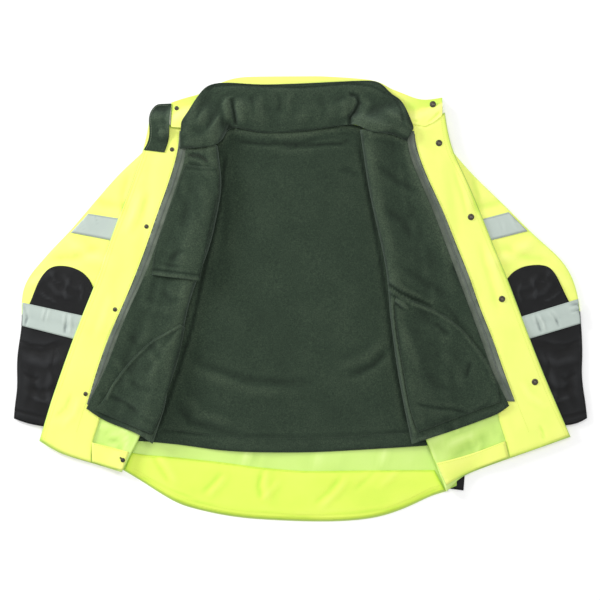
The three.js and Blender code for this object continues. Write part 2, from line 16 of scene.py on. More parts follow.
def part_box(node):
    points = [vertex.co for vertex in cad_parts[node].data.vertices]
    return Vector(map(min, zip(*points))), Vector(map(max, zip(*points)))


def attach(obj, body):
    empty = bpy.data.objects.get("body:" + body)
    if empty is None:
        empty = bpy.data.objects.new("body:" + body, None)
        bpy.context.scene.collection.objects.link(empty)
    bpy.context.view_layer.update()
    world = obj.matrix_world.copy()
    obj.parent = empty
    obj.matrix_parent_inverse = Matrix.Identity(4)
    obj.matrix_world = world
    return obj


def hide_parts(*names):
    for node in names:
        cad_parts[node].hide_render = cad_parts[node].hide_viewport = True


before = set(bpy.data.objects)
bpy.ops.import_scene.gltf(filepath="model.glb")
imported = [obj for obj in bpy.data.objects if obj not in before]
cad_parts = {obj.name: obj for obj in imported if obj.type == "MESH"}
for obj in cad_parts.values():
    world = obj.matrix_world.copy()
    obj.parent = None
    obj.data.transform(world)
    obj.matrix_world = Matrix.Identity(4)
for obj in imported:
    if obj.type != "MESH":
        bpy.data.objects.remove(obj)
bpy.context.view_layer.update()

MM = 0.001
print("nodes in the packed jacket:", len(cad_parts))

# %% [markdown]
# The plan of the jacket is drawn on squared paper, where one unit is two millimetres, x runs right and y
# runs down from the top edge of the sheet. `plan` turns a point of that drawing into metres. One snap,
# whose place on the paper is known, says where the paper lies over the model.

# %% Points of the plan
PAPER_UNIT = 2 * MM
PAPER_MIDDLE = (300, 299)
SNAP_ON_PAPER = (471, 217)

low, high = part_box("snap_socket_3")
paper_shift = Vector(
    (
        (low[0] + high[0]) / 2 - (SNAP_ON_PAPER[0] - PAPER_MIDDLE[0]) * PAPER_UNIT,
        (low[1] + high[1]) / 2 + (SNAP_ON_PAPER[1] - PAPER_MIDDLE[1]) * PAPER_UNIT,
    )
)


def plan(x, y):
    """The place in metres of a point of the plan."""
    return (
        (x - PAPER_MIDDLE[0]) * PAPER_UNIT + paper_shift.x,
        (PAPER_MIDDLE[1] - y) * PAPER_UNIT + paper_shift.y,
    )


print("paper shift in mm:", [round(v / MM, 2) for v in paper_shift])

# %% [markdown]
# The camera hangs straight over the jacket, so far up that the lens draws it nearly as flat as the plan.
# A wide soft light overhead and a weaker one low at one side show the folds without hard shadows.

# %% Camera, floor and lights
LENS = 200
SENSOR = 36
FRAME_WIDTH = 1.2

scene = bpy.context.scene
camera_data = bpy.data.cameras.new("camera")
camera_data.lens = LENS
camera_data.sensor_width = SENSOR
camera_data.clip_end = 50
camera = bpy.data.objects.new("camera", camera_data)
middle_x, middle_y = plan(300, 300)
camera.location = (middle_x, middle_y, FRAME_WIDTH * LENS / SENSOR + 0.02)
scene.collection.objects.link(camera)
scene.camera = camera
scene.view_settings.view_transform = "Standard"

floor_mesh = bpy.data.meshes.new("floor")
sheet_of_floor = bmesh.new()
bmesh.ops.create_grid(sheet_of_floor, x_segments=1, y_segments=1, size=6)
sheet_of_floor.to_mesh(floor_mesh)
sheet_of_floor.free()
floor = bpy.data.objects.new("floor", floor_mesh)
scene.collection.objects.link(floor)


def lamp(name, place, aim, size, power):
    """A square soft light at a place, turned to a point it aims at."""
    data = bpy.data.lights.new(name, "AREA")
    data.size = size
    data.energy = power
    light = bpy.data.objects.new(name, data)
    light.location = place
    light.rotation_euler = (Vector(aim) - Vector(place)).to_track_quat("-Z", "Y").to_euler()
    scene.collection.objects.link(light)
    return light


lamp("overhead", (0.2, 0.8, 5.0), (0, 0, 0), 3.4, 116)
lamp("side", (-2.4, 1.3, 1.2), (0, 0, 0), 0.9, 54)
world = bpy.data.worlds.new("pale room")
world.use_nodes = True
world.node_tree.nodes["Background"].inputs["Color"].default_value = (1, 1, 1, 1)
world.node_tree.nodes["Background"].inputs["Strength"].default_value = 0.56
scene.world = world
print("camera height:", round(camera.location.z, 3), "m")

# %% [markdown]
# Every finish is drawn with nodes, from the place of a point on the jacket. The small helpers keep each
# recipe short: one adds a node and joins its inputs, one makes a ramp of colours.

# %% Helpers for finishes
class Finish:
    """A material in the making, with short ways to add its nodes."""

    def __init__(self, name, roughness, **uniform):
        self.material = bpy.data.materials.new(name)
        self.material.use_nodes = True
        self.tree = self.material.node_tree
        self.shader = self.tree.nodes["Principled BSDF"]
        self.shader.inputs["Roughness"].default_value = roughness
        for socket, value in uniform.items():
            self.shader.inputs[socket.replace("_", " ")].default_value = value
        self.place = self.node("ShaderNodeTexCoord").outputs["Object"]

    def node(self, kind, values=None, **settings):
        made = self.tree.nodes.new(kind)
        for key, value in settings.items():
            setattr(made, key, value)
        for socket, value in (values or {}).items():
            if isinstance(value, bpy.types.NodeSocket):
                self.tree.links.new(value, made.inputs[socket])
            else:
                made.inputs[socket].default_value = value
        return made

    def noise(self, scale, detail=2.0, roughness=0.5, place=None):
        values = {"Vector": place or self.place, "Scale": scale, "Detail": detail, "Roughness": roughness}
        return self.node("ShaderNodeTexNoise", values).outputs["Fac"]

    def maths(self, operation, a, b=0.0, c=0.0):
        return self.node("ShaderNodeMath", {0: a, 1: b, 2: c}, operation=operation).outputs[0]

    def ramp(self, value, *stops):
        made = self.node("ShaderNodeValToRGB", {"Fac": value})
        ramp = made.color_ramp
        while len(ramp.elements) < len(stops):
            ramp.elements.new(0.5)
        for element, (position, color) in zip(ramp.elements, stops):
            element.position = position
            element.color = (*color, 1)
        return made.outputs["Color"]

    def blend(self, kind, amount, a, b):
        made = self.node("ShaderNodeMix", {"Factor": amount}, data_type="RGBA", blend_type=kind)
        for socket, value in ((6, a), (7, b)):
            if isinstance(value, bpy.types.NodeSocket):
                self.tree.links.new(value, made.inputs[socket])
            else:
                made.inputs[socket].default_value = (*value, 1)
        return made.outputs[2]

    def attribute(self, name):
        return self.node("ShaderNodeAttribute", attribute_name=name).outputs["Fac"]

    def color(self, value):
        self.tree.links.new(value, self.shader.inputs["Base Color"])

    def roughness(self, value):
        self.tree.links.new(value, self.shader.inputs["Roughness"])

    def bump(self, height, distance, strength=1.0):
        made = self.node("ShaderNodeBump", {"Height": height, "Distance": distance, "Strength": strength})
        self.tree.links.new(made.outputs["Normal"], self.shader.inputs["Normal"])

    def weave(self, pitch, angle=0.0):
        """A plain weave: warp and weft threads that pass over each other in turn."""
        turned = self.node("ShaderNodeMapping", {"Vector": self.place, "Rotation": (0, 0, angle)}).outputs[0]
        axes = self.node("ShaderNodeSeparateXYZ", {"Vector": turned})
        across = self.maths("MULTIPLY", axes.outputs["X"], math.pi / pitch)
        along = self.maths("MULTIPLY", axes.outputs["Y"], math.pi / pitch)
        warp = self.maths("ABSOLUTE", self.maths("SINE", across))
        weft = self.maths("ABSOLUTE", self.maths("SINE", along))
        turn = self.maths(
            "MULTIPLY",
            self.maths("SINE", self.maths("MULTIPLY_ADD", across, 1.0, math.pi / 2)),
            self.maths("SINE", self.maths("MULTIPLY_ADD", along, 1.0, math.pi / 2)),
        )
        over = self.maths("MULTIPLY_ADD", turn, 0.5, 0.5)
        top = self.maths("MULTIPLY", warp, over)
        under = self.maths("MULTIPLY", weft, self.maths("SUBTRACT", 1.0, over))
        return self.maths("ADD", top, under)


# %% [markdown]
# The shell is polyester oxford in a fluorescent yellow. It turns greener where a fold shades it, and that
# shade is painted into its colour: darker and greener in a crease as painted shade, paler on a ridge as a
# painted highlight, following the attribute `fold`, which is high on a ridge and low in a crease.

# %% Yellow oxford and its coated inside
def oxford(name, ridge, flat, crease, spread, roughness, pitch, depth, **uniform):
    """Woven shell cloth with painted shade in its creases and a painted highlight on its ridges, drawn from the
    attribute fold.
    """
    finish = Finish(name, roughness, **uniform)
    threads = finish.weave(pitch)
    cloudy = finish.noise(9, 3)
    # Painted shade and highlight: the attribute fold moves the colour towards the crease colour in creases and
    # towards the ridge colour on ridges, and the weave of the threads is multiplied in after.
    ridge_and_crease = finish.maths("MULTIPLY_ADD", finish.attribute("fold"), spread, 0.5 - spread / 2)
    shade = finish.maths("ADD", ridge_and_crease, finish.maths("MULTIPLY_ADD", cloudy, 0.3, -0.15))
    tint = finish.ramp(shade, (0.12, crease), (0.5, flat), (0.86, ridge))
    shade_and_weave = finish.blend("MULTIPLY", 0.35, tint, finish.ramp(threads, (0.1, (0.72, 0.78, 0.66)), (0.7, (1, 1, 1))))
    finish.color(shade_and_weave)
    finish.roughness(finish.maths("MULTIPLY_ADD", finish.noise(60, 2), 0.2, roughness - 0.1))
    finish.bump(finish.maths("ADD", threads, finish.maths("MULTIPLY", finish.noise(420, 2), 0.4)), depth)
    return finish.material


# The three colours are the painted highlight on ridges, the cloth's own yellow, and the painted shade in creases.
hi_vis = oxford(
    "hi-vis yellow oxford",
    (0.97, 1.0, 0.29),
    (0.91, 0.98, 0.21),
    (0.6, 0.93, 0.09),
    0.45,
    0.62,
    0.7 * MM,
    0.12 * MM,
    Sheen_Weight=0.15,
    Specular_IOR_Level=0.3,
)
# A darker, greener copy of the same yellow oxford for the back hem facing: the whole piece is painted in shade, with
# the same painted shade and highlight on its folds.
shaded_hem_yellow = oxford(
    "hi-vis yellow oxford, painted in shade",
    (0.88, 0.97, 0.19),
    (0.76, 0.94, 0.11),
    (0.4, 0.8, 0.03),
    0.45,
    0.62,
    0.7 * MM,
    0.12 * MM,
    Sheen_Weight=0.1,
    Specular_IOR_Level=0.3,
)
# The coated lining gets painted shade in its creases and a painted highlight on its ridges, from the attribute fold.
coated = oxford(
    "pale coated lining",
    (0.74, 0.93, 0.29),
    (0.6, 0.84, 0.18),
    (0.36, 0.6, 0.08),
    0.6,
    0.42,
    0.55 * MM,
    0.05 * MM,
    Specular_IOR_Level=0.5,
)

# %% [markdown]
# The liner is a brushed fleece. Its fibres stand in small tufts, so the bump is a fine noise, and the
# colour is a dark green grey that is patchy where the nap lies in different directions. Shade is painted
# into it as well: darker in creases and lighter on ridges, following the attribute `fold`.

# %% Fleece
def fleece_cloth():
    finish = Finish("dark fleece", 0.95, Sheen_Weight=0.28, Sheen_Roughness=0.6, Specular_IOR_Level=0.12)
    finish.shader.inputs["Sheen Tint"].default_value = (0.62, 0.8, 0.66, 1)
    tufts = finish.noise(420, 4, 0.75)
    pills = finish.noise(170, 4, 0.7)
    patches = finish.noise(16, 4, 0.6)
    # Painted shade and highlight from the attribute fold, added to random patches of the nap: the darkest stop of the
    # ramp is the painted shade in creases, the lightest the painted highlight on ridges.
    shade_and_nap = finish.maths(
        "ADD",
        finish.maths("MULTIPLY_ADD", finish.attribute("fold"), 0.5, 0.0),
        finish.maths("MULTIPLY", finish.maths("ADD", patches, pills), 0.26),
    )
    base = finish.ramp(
        shade_and_nap,
        (0.14, (0.003, 0.006, 0.0035)),
        (0.5, (0.02, 0.034, 0.0205)),
        (0.88, (0.05, 0.072, 0.045)),
    )
    speck = finish.ramp(tufts, (0.28, (0.3, 0.32, 0.36)), (0.5, (1.0, 1.0, 1.0)), (0.72, (1.9, 1.85, 1.7)))
    finish.color(finish.blend("MULTIPLY", 1.0, base, speck))
    height = finish.maths("ADD", finish.maths("MULTIPLY", pills, 1.6), tufts)
    finish.bump(height, 0.9 * MM, 0.8)
    return finish.material


fleece = fleece_cloth()

# %% [markdown]
# The sleeves end in black oxford that takes the wear. The bands are cloth covered with glass beads, which
# looks like a flat pale grey until light comes straight back from it. Zip tape is ribbed along its length.

# %% Black oxford, reflective tape, zip tape
# Black oxford with the same painted shade in its creases and painted highlight on its ridges.
black = oxford(
    "black oxford",
    (0.017, 0.018, 0.02),
    (0.0035, 0.0038, 0.0045),
    (0.001, 0.001, 0.0012),
    1.3,
    0.5,
    0.9 * MM,
    0.16 * MM,
    Specular_IOR_Level=0.22,
)


def bead_tape():
    finish = Finish("reflective tape", 0.5, Metallic=0.1, Specular_IOR_Level=0.35)
    beads = finish.node("ShaderNodeTexVoronoi", {"Vector": finish.place, "Scale": 1700}).outputs["Distance"]
    lattice = finish.weave(1.6 * MM, math.radians(45))
    # Painted shade and highlight: the attribute fold darkens the tape in creases and lightens it on ridges, with
    # random clouds added.
    shade = finish.maths(
        "ADD",
        finish.maths("MULTIPLY_ADD", finish.attribute("fold"), 0.5, 0.1),
        finish.maths("MULTIPLY", finish.noise(14, 3), 0.3),
    )
    tint = finish.ramp(
        shade, (0.14, (0.15, 0.18, 0.18)), (0.45, (0.42, 0.49, 0.45)), (0.85, (0.53, 0.6, 0.55))
    )
    finish.color(finish.blend("MULTIPLY", 0.3, tint, finish.ramp(lattice, (0.0, (0.8, 0.8, 0.8)), (0.6, (1, 1, 1)))))
    finish.roughness(finish.maths("MULTIPLY_ADD", beads, 0.25, 0.34))
    finish.bump(finish.maths("ADD", beads, lattice), 0.08 * MM)
    return finish.material


def ribbed_tape(name, angle):
    finish = Finish(name, 0.8, Sheen_Weight=0.2, Specular_IOR_Level=0.25)
    turned = finish.node("ShaderNodeMapping", {"Vector": finish.place, "Rotation": (0, 0, angle)}).outputs[0]
    axes = finish.node("ShaderNodeSeparateXYZ", {"Vector": turned})
    ribs = finish.maths("ABSOLUTE", finish.maths("SINE", finish.maths("MULTIPLY", axes.outputs["X"], math.pi / (1.3 * MM))))
    picks = finish.maths("ABSOLUTE", finish.maths("SINE", finish.maths("MULTIPLY", axes.outputs["Y"], math.pi / (0.7 * MM))))
    threads = finish.maths("ADD", ribs, finish.maths("MULTIPLY", picks, 0.5))
    cloudy = finish.noise(30, 3)
    tint = finish.ramp(cloudy, (0.3, (0.105, 0.132, 0.098)), (0.7, (0.18, 0.21, 0.165)))
    finish.color(finish.blend("MULTIPLY", 0.5, tint, finish.ramp(threads, (0.1, (0.6, 0.6, 0.6)), (1.0, (1, 1, 1)))))
    finish.bump(threads, 0.2 * MM)
    return finish.material


silver = bead_tape()
zip_left = ribbed_tape("zip tape left", math.radians(-18))
zip_right = ribbed_tape("zip tape right", math.radians(19))

# %% [markdown]
# The floor is a plain white sweep, and the fittings are plated steel and moulded plastic.

# %% Floor, plated steel and plastic
def plain(name, color, roughness, grain, depth, **uniform):
    """A smooth finish with a fine grain in its surface."""
    finish = Finish(name, roughness, **uniform)
    speck = finish.noise(grain, 3)
    darker = tuple(channel * 0.8 for channel in color)
    finish.color(finish.ramp(speck, (0.3, darker), (0.7, color)))
    finish.roughness(finish.maths("MULTIPLY_ADD", speck, 0.2, roughness - 0.1))
    finish.bump(speck, depth)
    return finish.material


floor.data.materials.append(plain("white sweep", (0.97, 0.97, 0.97), 0.9, 900, 0.01 * MM, Emission_Strength=0.14))
plated = plain("gunmetal plating", (0.09, 0.08, 0.06), 0.34, 900, 0.02 * MM, Metallic=0.9)
moulded = plain("black plastic", (0.015, 0.015, 0.016), 0.45, 700, 0.03 * MM)
print("finishes:", len(bpy.data.materials))

# %% [markdown]
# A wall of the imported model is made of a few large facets. Its copy is joined back to squares and split
# by smooth subdivision. The outline comes from a split whose cut edges and corners are fully creased, and
# the heights from one where fleece, whose edges are soft, is creased by half.

# %% Rounded copies of the cloth walls
CREASE_ANGLE = math.radians(65)
cloth = {}


CORNER_ANGLE = {"fleece": math.radians(58), "woven": math.radians(32)}


def smooth_split(bm, edge_crease, corner, levels):
    """A mesh split with smooth subdivision, its cut edges creased, and the places of its points."""
    layer = bm.edges.layers.float["crease_edge"]
    for edge in bm.edges:
        upright = abs(edge.verts[0].co.z - edge.verts[1].co.z) > 0.6 * edge.calc_length()
        sharp = corner if upright else CREASE_ANGLE
        edge[layer] = edge_crease if edge.calc_face_angle(0) > sharp else 0
    mesh = bpy.data.meshes.new("coarse")
    bm.to_mesh(mesh)
    coarse = bpy.data.objects.new("coarse", mesh)
    scene.collection.objects.link(coarse)
    soften = coarse.modifiers.new("soften", "SUBSURF")
    soften.levels = soften.render_levels = levels
    fine = bpy.data.meshes.new_from_object(coarse.evaluated_get(bpy.context.evaluated_depsgraph_get()))
    bpy.data.objects.remove(coarse)
    places = np.empty(len(fine.vertices) * 3)
    fine.vertices.foreach_get("co", places)
    return fine, places.reshape(-1, 3)


def rounded(node, material, levels, edge_crease):
    """A finer copy of a node, ready to be creased and laid."""
    bm = bmesh.new()
    bm.from_mesh(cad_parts[node].data)
    bmesh.ops.remove_doubles(bm, verts=bm.verts, dist=0.01 * MM)
    bmesh.ops.join_triangles(
        bm, faces=bm.faces, angle_face_threshold=math.radians(40), angle_shape_threshold=math.radians(80)
    )
    bm.edges.layers.float.new("crease_edge")
    corner = CORNER_ANGLE["fleece" if material is fleece else "woven"]
    fine, places = smooth_split(bm, 1.0, corner, levels)
    places[:, 2] = smooth_split(bm, edge_crease, corner, levels)[1][:, 2]
    bm.free()
    fine.name = node + "_cloth"
    fine.materials.clear()
    fine.materials.append(material)
    piece = bpy.data.objects.new(node + "_cloth", fine)
    scene.collection.objects.link(piece)
    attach(piece, "root")
    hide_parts(node)

    fine.calc_loop_triangles()
    corners = np.empty(len(fine.loop_triangles) * 3, dtype=np.int64)
    fine.loop_triangles.foreach_get("vertices", corners)
    cloth[node] = {
        "object": piece,
        "packed": places.copy(),
        "laid": places.copy(),
        "triangles": corners.reshape(-1, 3),
        "upper": np.ones(len(fine.vertices)),
    }
    return piece


# %% [markdown]
# The floor is covered with small square cells. Each cell holds how high the cloth laid so far reaches, and
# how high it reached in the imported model. The difference says how far the next piece has to move with it.

# %% The pile, as heights over small cells
CELL = 2 * MM
CELLS = 620
GAP = 0.35 * MM


def cell_of(points):
    """Row numbers of the cells that points lie in."""
    steps = np.clip((points[:, :2] / CELL + CELLS / 2).astype(int), 0, CELLS - 1)
    return steps[:, 1] * CELLS + steps[:, 0]


def samples(points, triangles):
    """Points spread evenly over triangles, close enough together to touch each cell they cross."""
    corners = points[triangles]
    longest = np.max(
        [np.linalg.norm(corners[:, i, :2] - corners[:, (i + 1) % 3, :2], axis=1) for i in range(3)], axis=0
    )
    counts = np.clip(np.ceil(longest / (0.7 * CELL)).astype(int), 1, 12)
    found = []
    for count in np.unique(counts):
        chosen = corners[counts == count]
        for i in range(count + 1):
            for j in range(count + 1 - i):
                share = np.array([i, j, count - i - j]) / count
                found.append(np.einsum("nkc,k->nc", chosen, share))
    return np.concatenate(found)


def heights(points, triangles, highest=True):
    """The highest or lowest point of some triangles over each cell."""
    spread = samples(points, triangles)
    cells = np.full(CELLS * CELLS, -1.0 if highest else 1.0)
    (np.maximum if highest else np.minimum).at(cells, cell_of(spread), spread[:, 2])
    return cells.reshape(CELLS, CELLS)


def widened(cells, radius):
    """Each cell takes the highest value within some cells of it."""
    for axis in (0, 1):
        cells = np.max([np.roll(cells, shift, axis) for shift in range(-radius, radius + 1)], axis=0)
    return cells


def softened(cells, radius):
    """Each cell takes the mean within some cells of it."""
    for axis in (0, 1):
        cells = np.mean([np.roll(cells, shift, axis) for shift in range(-radius, radius + 1)], axis=0)
    return cells


def read(cells, points):
    """The value of the cells at points, blended between cell middles."""
    at = np.clip(points[:, :2] / CELL + CELLS / 2 - 0.5, 0, CELLS - 2)
    base = at.astype(int)
    x, y = (at - base).T
    i, j = base[:, 0], base[:, 1]
    near = cells[j, i] * (1 - x) + cells[j, i + 1] * x
    far = cells[j + 1, i] * (1 - x) + cells[j + 1, i + 1] * x
    return near * (1 - y) + far * y


pile = np.zeros((CELLS, CELLS))
packed_pile = np.zeros((CELLS, CELLS))


def part_layers(node, wall, between=None):
    """Marks how far each point of a folded piece or a tube belongs to its upper layer, from 0 to 1.
    Where only one layer is there, it is the under one if the piece that lies between covers it."""
    piece = cloth[node]
    spread = piece["packed"], piece["triangles"]
    lowest = read(heights(*spread, highest=False), piece["packed"])
    highest = read(heights(*spread), piece["packed"])
    room = highest - lowest
    share = (piece["packed"][:, 2] - lowest) / np.maximum(room, 1e-6)
    share = np.clip((share - 0.3) / 0.4, 0, 1)
    share = share * share * (3 - 2 * share)
    alone = np.ones(len(share))
    if between:
        cover = heights(cloth[between]["packed"], cloth[between]["triangles"])
        alone = np.where(piece["packed"][:, 2] < read(cover, piece["packed"]) - MM, 0.0, 1.0)
    piece["upper"] = np.where(room < wall + 3 * MM, alone, share)


BESIDE = ("sleeve_left", "sleeve_right", "forearm_left", "forearm_right")


def lay(node, layer="whole"):
    """Moves a piece, or one layer of it, with the cloth below, and lifts it where it would cut in.
    Sleeves are sewn beside their neighbours, not over them, so they stay on the floor."""
    global pile, packed_pile
    piece = cloth[node]
    weight = {"whole": np.ones(len(piece["upper"])), "upper": piece["upper"], "under": 1 - piece["upper"]}[layer]
    chosen = piece["triangles"][weight[piece["triangles"]].mean(axis=1) > 0.5]
    if not len(chosen):
        return
    if node not in BESIDE:
        piece["laid"][:, 2] += read(softened(pile - packed_pile, 2), piece["laid"]) * weight
    if node not in BESIDE:
        bottom = heights(piece["laid"], chosen, highest=False)
        need = np.where(bottom < 1, np.clip(pile + GAP - bottom, 0, 15 * MM), 0)
        lift = softened(widened(need, 1), 2)
        piece["laid"][:, 2] += read(lift, piece["laid"]) * weight
    pile = np.maximum(pile, heights(piece["laid"], chosen))
    packed_pile = np.maximum(packed_pile, heights(piece["packed"], chosen))


# %% [markdown]
# A crease is drawn as a line on the plan, with a width and a height in millimetres: above zero it is a
# soft ridge, below zero a trough. Both fade out at their ends. Wide slow waves keep large panels from
# looking ironed.

# %% Creases and waves
def line_distance(points, line):
    """How far points lie from a line of the plan, and where along it, from 0 to 1."""
    corners = np.array([plan(*corner) for corner in line])
    lengths = np.linalg.norm(np.diff(corners, axis=0), axis=1)
    starts = np.concatenate([[0], np.cumsum(lengths)])
    nearest = np.full(len(points), 1e9)
    along = np.zeros(len(points))
    for k, length in enumerate(lengths):
        direction = (corners[k + 1] - corners[k]) / length
        offset = points[:, :2] - corners[k]
        step = np.clip(offset @ direction, 0, length)
        gap = np.linalg.norm(offset - step[:, None] * direction, axis=1)
        closer = gap < nearest
        nearest[closer] = gap[closer]
        along[closer] = ((starts[k] + step) / starts[-1])[closer]
    return nearest, along


def crease(points, line, width, height, fade=0.25):
    """Height that one crease adds at points of the plan."""
    gap, along = line_distance(points, line)
    ends = np.clip(np.minimum(along, 1 - along) / max(fade, 1e-6), 0, 1) if fade else 1.0
    return height * MM * np.exp(-((gap / (width * MM)) ** 2)) * ends


def waves(points, *rows):
    """Wide slow waves: length in mm, direction in degrees, start, height in mm."""
    total = np.zeros(len(points))
    for length, direction, start, height in rows:
        turn = math.radians(direction)
        along = points[:, 0] * math.cos(turn) + points[:, 1] * math.sin(turn)
        total += height * MM * (0.5 + 0.5 * np.sin(2 * math.pi * along / (length * MM) + start))
    return total


def shape(node, creases=(), wide=(), loft=0.0):
    """Gives the upper layer of a piece its loft and waves, which end at its edges, and its creases."""
    piece = cloth[node]
    points = piece["packed"]
    footprint = (heights(points, piece["triangles"]) > -1).astype(float)
    inside = np.clip(2 * read(softened(softened(footprint, 4), 3), points) - 1, 0, 1)
    total = (waves(points, *wide) + loft * MM) * inside
    for row in creases:
        total += crease(points, *row)
    piece["laid"][:, 2] += total * piece["upper"]


SETTLE_FROM = 42 * MM
SETTLE = 0.3


def write_back(node):
    """Puts the laid points in the piece's mesh, and marks its ridges and creases in the attribute fold, which the
    finishes use to paint shade into creases and highlight onto ridges.
    """
    piece = cloth[node]
    mesh = piece["object"].data
    laid = piece["laid"]
    laid[:, 2] = np.maximum(laid[:, 2], 0.1 * MM)
    laid[:, 2] -= SETTLE * np.maximum(laid[:, 2] - SETTLE_FROM, 0)
    mesh.vertices.foreach_set("co", laid.ravel())
    # The attribute fold: how far each point stands above or below the cloth around it, the mask that paints shade
    # into creases and highlight onto ridges.
    top = heights(laid, piece["triangles"])
    known = top > -1
    solid = np.where(known, top, 0)
    fold = np.full(len(laid), 0.5)
    for radius, depth in ((3, 2.6 * MM), (9, 7 * MM)):
        around = softened(solid, radius) / np.maximum(softened(known.astype(float), radius), 1e-3)
        fold += read(np.where(known, solid - around, 0), laid) / depth
    fold = np.clip(fold, 0, 1)
    mesh.attributes.new("fold", "FLOAT", "POINT").data.foreach_set("value", fold)
    for face in mesh.polygons:
        face.use_smooth = True
    mesh.update()
    if piece["object"].material_slots[0].material is not fleece:
        mesh.set_sharp_from_angle(angle=math.radians(50))
    return laid


def meet(node, over, rise, reach=7, along=None):
    """Rounds a piece up to the edge of the one sewn over it, so that the seam is a line and not a step.
    A line of the plan keeps this to the seam that runs along it."""
    piece = cloth[node]
    cover = heights(cloth[over]["laid"], cloth[over]["triangles"]) > -1
    near = np.clip(2 * softened(cover.astype(float), reach), 0, 1)
    share = np.exp(-((line_distance(piece["laid"], along)[0] / (9 * MM)) ** 2)) if along else 1.0
    piece["laid"][:, 2] += read(np.where(cover, 0, near), piece["laid"]) * rise * MM * piece["upper"] * share


def coat_inside(node):
    """Shell cloth is yellow outside and coated inside. The inside is up on an upper layer, down on an under one."""
    piece = cloth[node]
    mesh = piece["object"].data
    mesh.materials.clear()
    mesh.materials.append(coated)
    mesh.materials.append(hi_vis)
    upper = piece["upper"]
    for face in mesh.polygons:
        on_top = upper[face.vertices[0]] > 0.5
        face.material_index = 0 if (face.normal.z > 0) == on_top else 1

# %% [markdown]
# The pieces are named with their finish. Sleeves and forearms are flat tubes, and each front is folded
# over, so these have an under and an upper layer. Only what lies on top is given creases.

# %% Every cloth piece of the jacket
SIDES = ("left", "right")
TUBE_WALL = 2.4 * MM
FRONT_WALL = 3 * MM

wardrobe = [("shell_back", hi_vis, "hi_vis_yellow"), ("fleece_back", fleece, "fleece")]
wardrobe += [("back_hem_facing", shaded_hem_yellow, "hi_vis_yellow"), ("shell_collar", hi_vis, "hi_vis_yellow")]
wardrobe += [("fleece_collar", fleece, "fleece"), ("inner_pocket", fleece, "fleece")]
wardrobe += [("collar_tab", fleece, "fleece"), ("side_tab", black, "black_oxford")]
for side in SIDES:
    wardrobe += [
        ("sleeve_" + side, hi_vis, "hi_vis_yellow"),
        ("forearm_" + side, black, "black_oxford"),
        ("elbow_patch_" + side, black, "black_oxford"),
        ("band_upper_" + side, silver, "reflective_tape"),
        ("band_lower_" + side, silver, "reflective_tape"),
        ("shell_front_" + side, coated, "coated_lining"),
        ("front_facing_" + side, hi_vis, "hi_vis_yellow"),
        ("hem_facing_" + side, hi_vis, "hi_vis_yellow"),
        ("zip_tape_" + side, zip_left if side == "left" else zip_right, "zip_tape"),
        ("fleece_front_" + side, fleece, "fleece"),
        ("pocket_bag_" + side, fleece, "fleece"),
    ]
SOFT_EDGE = 0.5
fine_pieces = {"shell_collar", "back_hem_facing"}
fine_pieces |= {name + side for name in ("front_facing_", "sleeve_", "forearm_", "band_lower_") for side in SIDES}
for node, material, slot in wardrobe:
    soft = material is fleece
    rounded(node, material, 3 if soft or node in fine_pieces else 2, SOFT_EDGE if soft else 1.0)
for side in SIDES:
    for node, wall in (("sleeve_", TUBE_WALL), ("forearm_", TUBE_WALL), ("shell_front_", 1.5 * MM)):
        part_layers(node + side, wall)
    part_layers("fleece_front_" + side, FRONT_WALL, between="shell_front_" + side)
print("cloth pieces:", len(cloth), "triangles:", sum(len(piece["triangles"]) for piece in cloth.values()))

# %% [markdown]
# These tables hold the creases of each piece: the line on the plan, its width and its height. Fleece rolls
# softly, so its creases are wide. The stiffer shell makes narrow ones in pairs, a ridge beside a trough.

